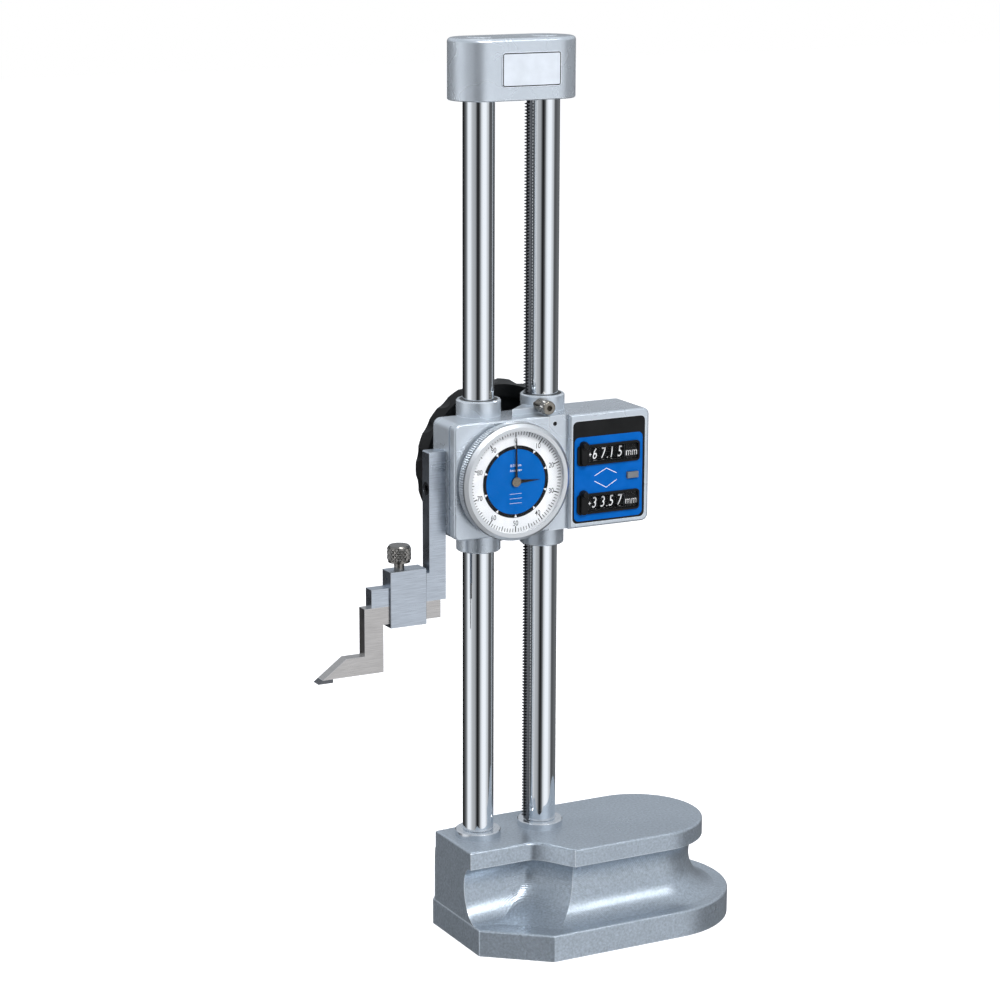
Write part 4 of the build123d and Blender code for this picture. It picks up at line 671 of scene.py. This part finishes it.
@dataclass(frozen=True)
class Dial:
    """The printed dial: divisions, numerals, a black ring with pointers and a blue field.

    Attributes:
        x: The dial's centre.
        z: The dial's centre.
        depth: How far its face stands before the columns.
        divisions: The number of divisions in one turn.
        numerals: The number of numerals in one turn, and of the small white pointers.
        tick_end: The outer radius of the divisions.
        numeral_radius: The radius of the middle of the numerals.
        numeral_height: The height of the numerals.
        ring_outer: The outer radius of the black ring.
        ring_inner: Its inner radius, where the blue field ends.
        ring_corners: The number of corners of the ring.
        layer: The thickness of one layer of print.
        numeral_width: The width of the numerals beside the plain face's.
        ticks: Length and width of the marks at each tenth, each fifth and each single division.
        arrow: A pointer's tip and foot from the ring's middle, and half its width.
        texts: The texts, each with its height and its place above the centre.
        lines: The places of the plain lines above the centre.
        line_half: Half the plain lines' length and half their width.
    """

    x: float = -12.4
    z: float = 274.5
    depth: float = 29.8
    divisions: int = 100
    numerals: int = 10
    tick_end: float = 28.9
    numeral_radius: float = 23.8
    numeral_height: float = 2.9
    ring_outer: float = 20.7
    ring_inner: float = 18.6
    ring_corners: int = 96
    layer: float = 0.03
    numeral_width: float = 0.82
    ticks: Sequence[tuple[int, Point]] = ((10, (3.4, 0.58)), (5, (2.8, 0.45)), (1, (2.1, 0.36)))
    arrow: Place = (-1.1, 0.75, 0.85)
    texts: Sequence[tuple[str, float, float]] = (("0.01mm", 1.5, 9.4), ("1mm/rev", 1.5, 6.6))
    lines: Sequence[float] = (-6.9, -9.6, -12.3)
    line_half: Point = (3.8, 0.09)

    def place(self, points: Iterable[Point], layer: int = 1) -> list[Place]:
        """Puts points, given right of and above the centre, on a print layer of the dial."""
        y = -self.depth - layer * self.layer
        return [(self.x + u, y, self.z + v) for u, v in points]

    def turned(self, points: Iterable[Point], angle: float) -> list[Point]:
        """Turns flat points clockwise round the centre."""
        c, s = math.cos(angle), math.sin(angle)
        return [(u * c + v * s, v * c - u * s) for u, v in points]

    def scale(self, piece: Piece, letters: Lettering) -> None:
        """Adds the divisions and the numerals.

        Args:
            piece: The piece that they join.
            letters: The source of the numerals' shapes.
        """
        for i in range(self.divisions):
            length, width = next(size for step, size in self.ticks if i % step == 0)
            mark = rectangle(0, self.tick_end - length / 2, width / 2, length / 2)
            piece.polygon(self.place(self.turned(mark, 2 * math.pi * i / self.divisions)))
        for i in range(self.numerals):
            value = str(i * self.divisions // self.numerals)
            points, faces = letters.outline(value, self.numeral_height, self.numeral_width)
            angle = 2 * math.pi * i / self.numerals
            across = self.numeral_radius * math.sin(angle)
            up = self.numeral_radius * math.cos(angle)
            piece.shape(self.place([(u + across, v + up) for u, v in points]), faces)

    def notes(self, piece: Piece, letters: Lettering) -> None:
        """Adds the ring's pointers and what is printed on the blue field.

        Args:
            piece: The piece that they join.
            letters: The source of the texts' shapes.
        """
        middle = (self.ring_outer + self.ring_inner) / 2
        tip, foot, half = self.arrow
        arrow = [(0, middle + tip), (half, middle + foot), (-half, middle + foot)]
        for i in range(self.numerals):
            piece.polygon(self.place(self.turned(arrow, 2 * math.pi * i / self.numerals), 2))
        for text, height, rise in self.texts:
            points, faces = letters.outline(text, height)
            piece.shape(self.place([(u, v + rise) for u, v in points], 2), faces)
        for rise in self.lines:
            piece.polygon(self.place(rectangle(0, rise, *self.line_half), 2))

    def build(self, letters: Lettering, inks: Inks) -> None:
        """Makes the printed pieces.

        Args:
            letters: The source of the numerals' shapes.
            inks: The inks' materials.
        """
        black = Piece("dial_scale", Body.BEZEL, inks[Ink.BLACK], "dial_print")
        self.scale(black, letters)
        black.finish()

        ring = Piece("dial_ring", Body.BEZEL, inks[Ink.BLACK], "dial_print")
        outer = ring_points(self.ring_outer, self.ring_corners)
        inner = ring_points(self.ring_inner, self.ring_corners)
        ring.shape(self.place(outer + inner), hoop(self.ring_corners))
        ring.finish()

        blue = Piece("dial_field", Body.BEZEL, inks[Ink.BLUE], "blue_overlay")
        blue.polygon(self.place(inner))
        blue.finish()

        white = Piece("dial_pointers", Body.BEZEL, inks[Ink.WHITE], "dial_print")
        self.notes(white, letters)
        white.finish()


@dataclass(frozen=True)
class Counter:
    """One row of number drums, with the digits that face the window.

    Attributes:
        name: The row's name.
        z: The height of the drums' axis.
        reading: The digits that show, from left to right.
        decimals: The number of digits before the decimal point.
        first_x: The middle of the first drum.
        pitch: The distance between two drums.
        radius: The drums' radius.
        axis_depth: How far the drums' axis stands before the columns.
        panel_depth: How far the panel's front stands before the columns.
        digit_height: The height of the digits.
        digit_width: Their width beside the plain face's.
        digit_slant: How far they lean, as a share of their height.
        digit_cuts: How many level cuts divide them so that they bend.
        print_height: How far the digits' print stands over the drum.
        dot_radius: The radius of the decimal point.
        dot_rise: The rise of its middle over the digits' foot.
        dot_corners: The number of its corners.
        signs: The signs, each with its height, its place to the right and its rise over the axis.
        sign_width: The signs' width beside the plain face's.
        sign_gap: The air between the signs and the panel.
    """

    name: str
    z: float
    reading: str
    decimals: int = 2
    first_x: float = 41.6
    pitch: float = 5.5
    radius: float = 11.4
    axis_depth: float = 13.0
    panel_depth: float = 25.7
    digit_height: float = 6.5
    digit_width: float = 0.66
    digit_slant: float = 0.12
    digit_cuts: int = 7
    print_height: float = 0.04
    dot_radius: float = 0.36
    dot_rise: float = 0.35
    dot_corners: int = 8
    signs: Sequence[tuple[str, float, float, float]] = (("+", 3.0, 37.6, 0.0),
                                                        ("mm", 4.4, 64.8, -0.4))
    sign_width: float = 0.82
    sign_gap: float = 0.05

    DRUM_DIGITS = 10

    def bent(self, x: float, step: int, points: Iterable[Point]) -> list[Place]:
        """Bends flat points round the drum.

        Args:
            x: The drum's middle.
            step: The number of digits below the one in the window.
            points: Places to the right of and above the digit's middle.

        Returns:
            The places in the part's frame.
        """
        r = self.radius + self.print_height
        turn = -2 * math.pi * step / self.DRUM_DIGITS
        angles = [turn + v / r for _, v in points]
        return [(x + u, -self.axis_depth - r * math.cos(t), self.z + r * math.sin(t))
                for (u, _), t in zip(points, angles)]

    def dot(self) -> list[Point]:
        """The decimal point to the right of a digit, at its foot."""
        return [(self.pitch / 2 + u, v - self.digit_height / 2 + self.dot_rise)
                for u, v in ring_points(self.dot_radius, self.dot_corners)]

    def build(self, letters: Lettering, inks: Inks) -> None:
        """Makes the digits on the drums and the signs beside them.

        Args:
            letters: The source of the digits' shapes.
            inks: The inks' materials.
        """
        digits = Piece(f"{self.name}_digits", Body.SLIDER, inks[Ink.WHITE], "dial_print")
        for i, shown in enumerate(self.reading):
            x = self.first_x + i * self.pitch
            for step in range(self.DRUM_DIGITS):
                value = str((int(shown) + step) % self.DRUM_DIGITS)
                points, faces = letters.outline(value, self.digit_height, self.digit_width,
                                                self.digit_slant, self.digit_cuts)
                digits.shape(self.bent(x, step, points), faces)
            if i == self.decimals - 1:
                for step in range(self.DRUM_DIGITS):
                    digits.polygon(self.bent(x, step, self.dot()))
        digits.finish()

        signs = Piece(f"{self.name}_signs", Body.SLIDER, inks[Ink.WHITE], "dial_print")
        y = -self.panel_depth - self.sign_gap
        for text, height, x, rise in self.signs:
            points, faces = letters.outline(text, height, self.sign_width)
            signs.shape([(x + u, y, self.z + v + rise) for u, v in points], faces)
        signs.finish()


@dataclass(frozen=True)
class PanelPrint:
    """White chevrons between the two counters, and the border of the bare plate on the head.

    Attributes:
        overlay_depth: How far the blue overlay's front stands before the columns.
        gap: The air below the print.
        line: The width of the chevrons' lines.
        border: How far the border's outer and inner edge lie inside the plate's edge.
        corner: The plate's corner radius.
        arc_steps: The places of the points on a corner's arc, in degrees.
        chevrons: Left end, middle and right end of each chevron, right and up.
    """

    overlay_depth: float = 25.95
    gap: float = 0.03
    line: float = 0.32
    border: Point = (0.45, 1.0)
    corner: float = 1.8
    arc_steps: Sequence[float] = (0, 30, 60, 90)
    chevrons: Sequence[Sequence[Point]] = (((40.5, 271.8), (48.2, 275.6), (55.0, 272.2)),
                                           ((40.5, 268.7), (48.2, 264.4), (55.0, 268.3)))

    # The plate's corners, each with the angle in degrees at which its arc begins
    CORNERS = ((1, 1, 0), (-1, 1, 90), (-1, -1, 180), (1, -1, 270))

    def strip(self, piece: Piece, a: Point, b: Point) -> None:
        """Adds one straight line of print on the overlay.

        Args:
            piece: The piece that it joins.
            a: One end, right and up.
            b: The other end.
        """
        start, end = Vector(a), Vector(b)
        side = Vector((start.y - end.y, end.x - start.x)).normalized() * self.line / 2
        y = -self.overlay_depth - self.gap
        piece.polygon([(c.x, y, c.y) for c in (start - side, end - side, end + side, start + side)])

    def loop(self, inset: float) -> list[Place]:
        """A loop with round corners on the head's plate.

        Args:
            inset: How far it lies inside the plate's edge.

        Returns:
            Its places in the part's frame.
        """
        low, high = (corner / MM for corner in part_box("head_plate"))
        middle, half = (low + high) / 2, (high - low) / 2
        radius = self.corner - inset
        across, up = half.x - self.corner, half.z - self.corner
        return [(middle.x + sx * across + radius * math.cos(t), low.y - self.gap,
                 middle.z + sz * up + radius * math.sin(t))
                for sx, sz, first in self.CORNERS
                for t in (math.radians(first + step) for step in self.arc_steps)]

    def build(self, inks: Inks) -> None:
        """Makes the printed lines.

        Args:
            inks: The inks' materials.
        """
        chevrons = Piece("panel_chevrons", Body.SLIDER, inks[Ink.WHITE], "dial_print")
        for left, middle, right in self.chevrons:
            self.strip(chevrons, left, middle)
            self.strip(chevrons, middle, right)
        chevrons.finish()

        border = Piece("plate_border", Body.STAND, inks[Ink.BLACK], "black_steel")
        outer, inner = (self.loop(inset) for inset in self.border)
        border.shape(outer + inner, hoop(len(outer)))
        border.finish()


@dataclass(frozen=True)
class Knurl:
    """A band of knurling round an axis: straight ridges, or small pyramids for a diamond knurl.

    Attributes:
        name: The piece's name.
        body: The body it rides on.
        centre: A point on the axis at the band's start.
        axis: The direction in which it runs.
        radius: The radius of the surface that it lies on.
        length: The band's length along the axis.
        count: The number of ridges round the band.
        height: How far the ridges stand out.
        rows: The number of rows of pyramids, or 0 for straight ridges.
        slot: The record's material slot.
        foot: How far the grooves' bottom stands over the surface.
    """

    name: str
    body: Body
    centre: Place
    axis: Axis
    radius: float
    length: float
    count: int
    height: float
    rows: int
    slot: str
    foot: float = 0.02

    def at(self, angle: float, radius: float, along: float) -> Place:
        """A place on the band.

        Args:
            angle: The turn round the axis.
            radius: The distance from the axis.
            along: The distance from the band's start.

        Returns:
            The place in the part's frame.
        """
        a, b = radius * math.cos(angle), radius * math.sin(angle)
        x, y, z = self.centre
        if self.axis is Axis.UP:
            return (x + a, y + b, z + along)
        return (x + a, y - along, z + b)

    def build(self, material: bpy.types.Material) -> None:
        """Makes the band.

        Args:
            material: The metal's material.
        """
        piece = Piece(self.name, self.body, material, self.slot)
        levels = 2 * max(self.rows, 1) + 1
        around = 2 * self.count
        grid = []
        for j in range(levels):
            along = self.length * j / (levels - 1)
            for i in range(around):
                peak = (i + j) % 2 == 0 and 0 < j < levels - 1 if self.rows else i % 2 == 0
                radius = self.radius + (self.height if peak else self.foot)
                grid.append(self.at(2 * math.pi * i / around, radius, along))
        faces = []
        for j in range(levels - 1):
            low, high = j * around, (j + 1) * around
            for i in range(around):
                k = (i + 1) % around
                a, b, c, d = low + i, low + k, high + k, high + i
                if self.axis is Axis.FRONT:
                    a, b, c, d = d, c, b, a
                faces += [(a, b, c), (a, c, d)] if (i + j) % 2 else [(a, b, d), (b, c, d)]
        piece.shape(grid, faces)
        piece.finish()


@dataclass(frozen=True)
class Camera:
    """The camera that sees the gauge from the left, a little above.

    Attributes:
        place: Where it stands, in metres.
        yaw: Its turn to the right of straight ahead, in degrees.
        pitch: How far it looks down, in degrees.
        roll: Its roll, in degrees.
        lens_mm: The focal length.
        sensor_mm: The sensor's width.
        reach: How far it sees, in metres.
    """

    place: Place = (-0.75738, -1.42279, 0.62550)
    yaw: float = 27.82
    pitch: float = 12.89
    roll: float = 0.15
    lens_mm: float = 104.16
    sensor_mm: float = 36.0
    reach: float = 50.0

    def build(self) -> None:
        """Makes the camera and gives it to the scene."""
        data = bpy.data.cameras.new("camera")
        data.sensor_width = self.sensor_mm
        data.lens = self.lens_mm
        data.clip_end = self.reach
        camera = bpy.data.objects.new("camera", data)
        yaw, pitch, roll = (math.radians(v) for v in (self.yaw, self.pitch, self.roll))
        turn = Matrix.Rotation(-yaw, 4, "Z") @ Matrix.Rotation(math.pi / 2 - pitch, 4, "X")
        camera.matrix_world = Matrix.Translation(self.place) @ turn @ Matrix.Rotation(roll, 4, "Z")
        bpy.context.scene.collection.objects.link(camera)
        bpy.context.scene.camera = camera
        log.info("camera: %.1f mm", self.lens_mm)


@dataclass(frozen=True)
class Softbox:
    """A rectangular lamp.

    Attributes:
        name: The lamp's name.
        place: Where it stands, in metres.
        aim: The point that it faces.
        size: Its width and height in metres.
        watts: Its power.
        mirrored: Whether metal shows it.
    """

    name: str
    place: Place
    aim: Place
    size: Point
    watts: float
    mirrored: bool = True

    def build(self) -> None:
        """Makes the lamp."""
        data = bpy.data.lights.new(self.name, "AREA")
        data.shape = "RECTANGLE"
        data.size, data.size_y = self.size
        data.energy = self.watts
        lamp = bpy.data.objects.new(self.name, data)
        lamp.visible_glossy = self.mirrored
        lamp.location = self.place
        view = Vector(self.aim) - Vector(self.place)
        lamp.rotation_euler = view.to_track_quat("-Z", "Y").to_euler()
        bpy.context.scene.collection.objects.link(lamp)
        log.info("lamp %s: %.0f W", self.name, self.watts)


class Studio:
    """The white room: a pale floor, the world and the lamps."""

    LAMPS = (
        Softbox("key", place=(0.1, -1.5, 1.85), aim=(0.0, 0.0, 0.2), size=(1.5, 0.6), watts=36.0),
        Softbox("front", place=(1.5, -1.5, 0.6), aim=(0.0, 0.0, 0.28), size=(0.9, 0.9),
                watts=13.0, mirrored=False),
        Softbox("side", place=(-1.75, 1.0, 0.7), aim=(0.0, 0.0, 0.25), size=(0.9, 0.9),
                watts=34.0, mirrored=False),
        Softbox("top", place=(0.3, 0.5, 2.2), aim=(0.0, 0.0, 0.2), size=(1.2, 1.2), watts=4.0),
    )
    # Panels and flags: share of a turn from the front by way of the left, and brightness
    BANDS = ((0.0, 0.88), (0.025, 0.62), (0.05, 0.12), (0.085, 0.0), (0.11, 0.06), (0.14, 0.38),
             (0.20, 0.52), (0.25, 0.95), (0.30, 0.92), (0.335, 0.30), (0.38, 0.10), (0.45, 0.01),
             (0.55, 0.04), (0.62, 0.10), (0.70, 0.17), (0.76, 0.13), (0.82, 0.09), (0.845, 0.14),
             (0.865, 0.55), (0.90, 0.72), (0.925, 1.0), (0.98, 1.0), (1.0, 0.88))
    # What a panel's brightness is multiplied by for red, green and blue
    BAND_TINT = (0.97, 0.99, 1.02)
    # The rise of a reflected direction over which the panels give way to the ceiling
    CEILING_RISE = (0.02, 0.35)
    ROOM = linear("#979BA2")
    CEILING = linear("#CBD0D6")
    WHITE = linear("#FFFFFF")
    PAPER = linear("#C4C5C8")
    FLOOR_GLOW = 0.84
    # Half the floor's side and how far it lies below the base, in metres
    FLOOR_HALF = 6.0
    FLOOR_DROP = 0.0002

    def mirrored(self, tree: NodeTree) -> Socket:
        """The colours that polished metal shows: panels and flags all round, and a ceiling.

        Args:
            tree: The world's tree.

        Returns:
            The colour in the ray's direction.
        """
        direction = tree.add("TexCoord", output="Generated")
        right, back, up = (tree.add("SeparateXYZ", (direction,), axis) for axis in "XYZ")
        turn = tree.add("Math", (right, back), operation="ARCTAN2")
        share = tree.add("MapRange", (turn, -math.pi, math.pi))
        bands = tree.add("ValToRGB", (share,))
        elements = bands.node.color_ramp.elements
        while len(elements) < len(self.BANDS):
            elements.new(0.5)
        for element, (place, value) in zip(elements, self.BANDS):
            element.position = place
            element.color = [value * tint for tint in self.BAND_TINT] + [1.0]
        rise = tree.add("MapRange", (up, *self.CEILING_RISE))
        return tree.add("Mix", {SHARE: rise, UNDER: bands, OVER: self.CEILING}, **COLOURS)

    def world(self) -> None:
        """Makes the world: white to the camera, panels and dark flags to polished metal."""
        world = bpy.data.worlds.new("studio")
        tree = NodeTree(world)
        plain, metal, white = (tree.add("Background", (colour,)) for colour in
                               (self.ROOM, self.mirrored(tree), self.WHITE))
        glossy, camera, through = (tree.add("LightPath", output=f"Is {kind} Ray")
                                   for kind in ("Glossy", "Camera", "Transmission"))
        reflected = tree.add("MixShader", (glossy, plain, metal))
        seen = tree.add("Math", (camera, through), operation="MAXIMUM")
        both = tree.add("MixShader", (seen, reflected, white))
        tree.add("OutputWorld", {"Surface": both})
        bpy.context.scene.world = world

    def floor(self) -> None:
        """Makes the pale floor: white to the camera with a shadow, and clear to reflections."""
        material = bpy.data.materials.new("paper")
        tree = NodeTree(material)
        camera, glossy = (tree.add("LightPath", output=f"Is {kind} Ray")
                          for kind in ("Camera", "Glossy"))
        glow = tree.add("Math", (camera, self.FLOOR_GLOW), operation="MULTIPLY")
        paper = tree.add("BsdfDiffuse", {"Color": self.PAPER})
        lit = tree.add("Emission", {"Color": self.WHITE, "Strength": glow})
        both = tree.add("AddShader", (paper, lit))
        clear = tree.add("BsdfTransparent")
        shown = tree.add("MixShader", (glossy, both, clear))
        tree.add("OutputMaterial", {"Surface": shown})

        corners = rectangle(0, 0, self.FLOOR_HALF, self.FLOOR_HALF)
        mesh = bpy.data.meshes.new("floor")
        mesh.from_pydata([(x, y, 0) for x, y in corners], [], [range(len(corners))])
        mesh.materials.append(material)
        obj = bpy.data.objects.new("floor", mesh)
        obj.location.z = -self.FLOOR_DROP
        bpy.context.scene.collection.objects.link(obj)

    def build(self) -> None:
        """Makes the whole studio."""
        self.world()
        self.floor()
        for lamp in self.LAMPS:
            lamp.build()


class Gauge:
    """The gauge's looks, from the finishes of its nodes to its printed and knurled pieces."""

    LETTER_WEIGHT = 0.003

    KNURLS = (
        Knurl("bezel_knurl", Body.BEZEL, (-12.4, -25.4, 274.5), Axis.FRONT, radius=33.3,
              length=5.0, count=150, height=0.4, rows=0, slot="chrome_bezel"),
        Knurl("clamp_knurl", Body.CLAMP_KNOB, (-74.6, -8.2, 231.6), Axis.UP, radius=6.2,
              length=8.0, count=18, height=0.7, rows=3, slot="nickel"),
        Knurl("lock_knurl", Body.LOCK, (12.4, -18.2, 313.0), Axis.FRONT, radius=3.8,
              length=4.6, count=26, height=0.24, rows=4, slot="nickel"),
    )

    OWN_LOOKS = {
        # Turned steel: fine rings round the collars and a painted highlight along the edges
        "column_collars": Steel(
            "turned_steel", "#DCE0E5", roughness=0.20, line_mm=0.3, lines=(1, 1, 4),
            depth_mm=0.003, shade=0.10, edge_mm=0.9),
        # Nickel plate that fingers have worn: darker and duller than the rest
        "lock_screw": Steel(
            "lock_nickel", "#8F8A82", roughness=0.26, line_mm=0.25, depth_mm=0.004, shade=0.12),
    }

    COUNTERS = (
        Counter("upper", z=284.3, reading="6715"),
        Counter("lower", z=255.9, reading="3357"),
    )

    def __init__(self) -> None:
        """Makes the materials."""
        self.letters = Lettering(self.LETTER_WEIGHT)
        self.materials = {slot: finish.build() for slot, finish in FINISHES.items()}
        self.inks = {ink: ink.value.build() for ink in Ink}

    def dress_nodes(self) -> None:
        """Gives every node of the part the material of its slot, or the look of its own."""
        parts = frame["record"]["subparts"]
        slots = {part["node"]: part["material_slot"] for part in parts}
        own = {name: finish.build() for name, finish in self.OWN_LOOKS.items()}
        for name, obj in frame["nodes"].items():
            material = own.get(name, self.materials[slots[name]])
            obj.data.materials.clear()
            obj.data.materials.append(material)
            log.info("%s: %s", name, material.name)

    def build(self) -> None:
        """Dresses the nodes and adds the pieces."""
        self.dress_nodes()
        Dial().build(self.letters, self.inks)
        for counter in self.COUNTERS:
            counter.build(self.letters, self.inks)
        PanelPrint().build(self.inks)
        for knurl in self.KNURLS:
            knurl.build(self.materials[knurl.slot])


def main() -> None:
    """Builds the looks, the camera and the studio."""
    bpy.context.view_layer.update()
    scene = bpy.context.scene
    scene.view_settings.view_transform = "Standard"
    Gauge().build()
    Camera().build()
    Studio().build()


if __name__ == "__main__":
    main()
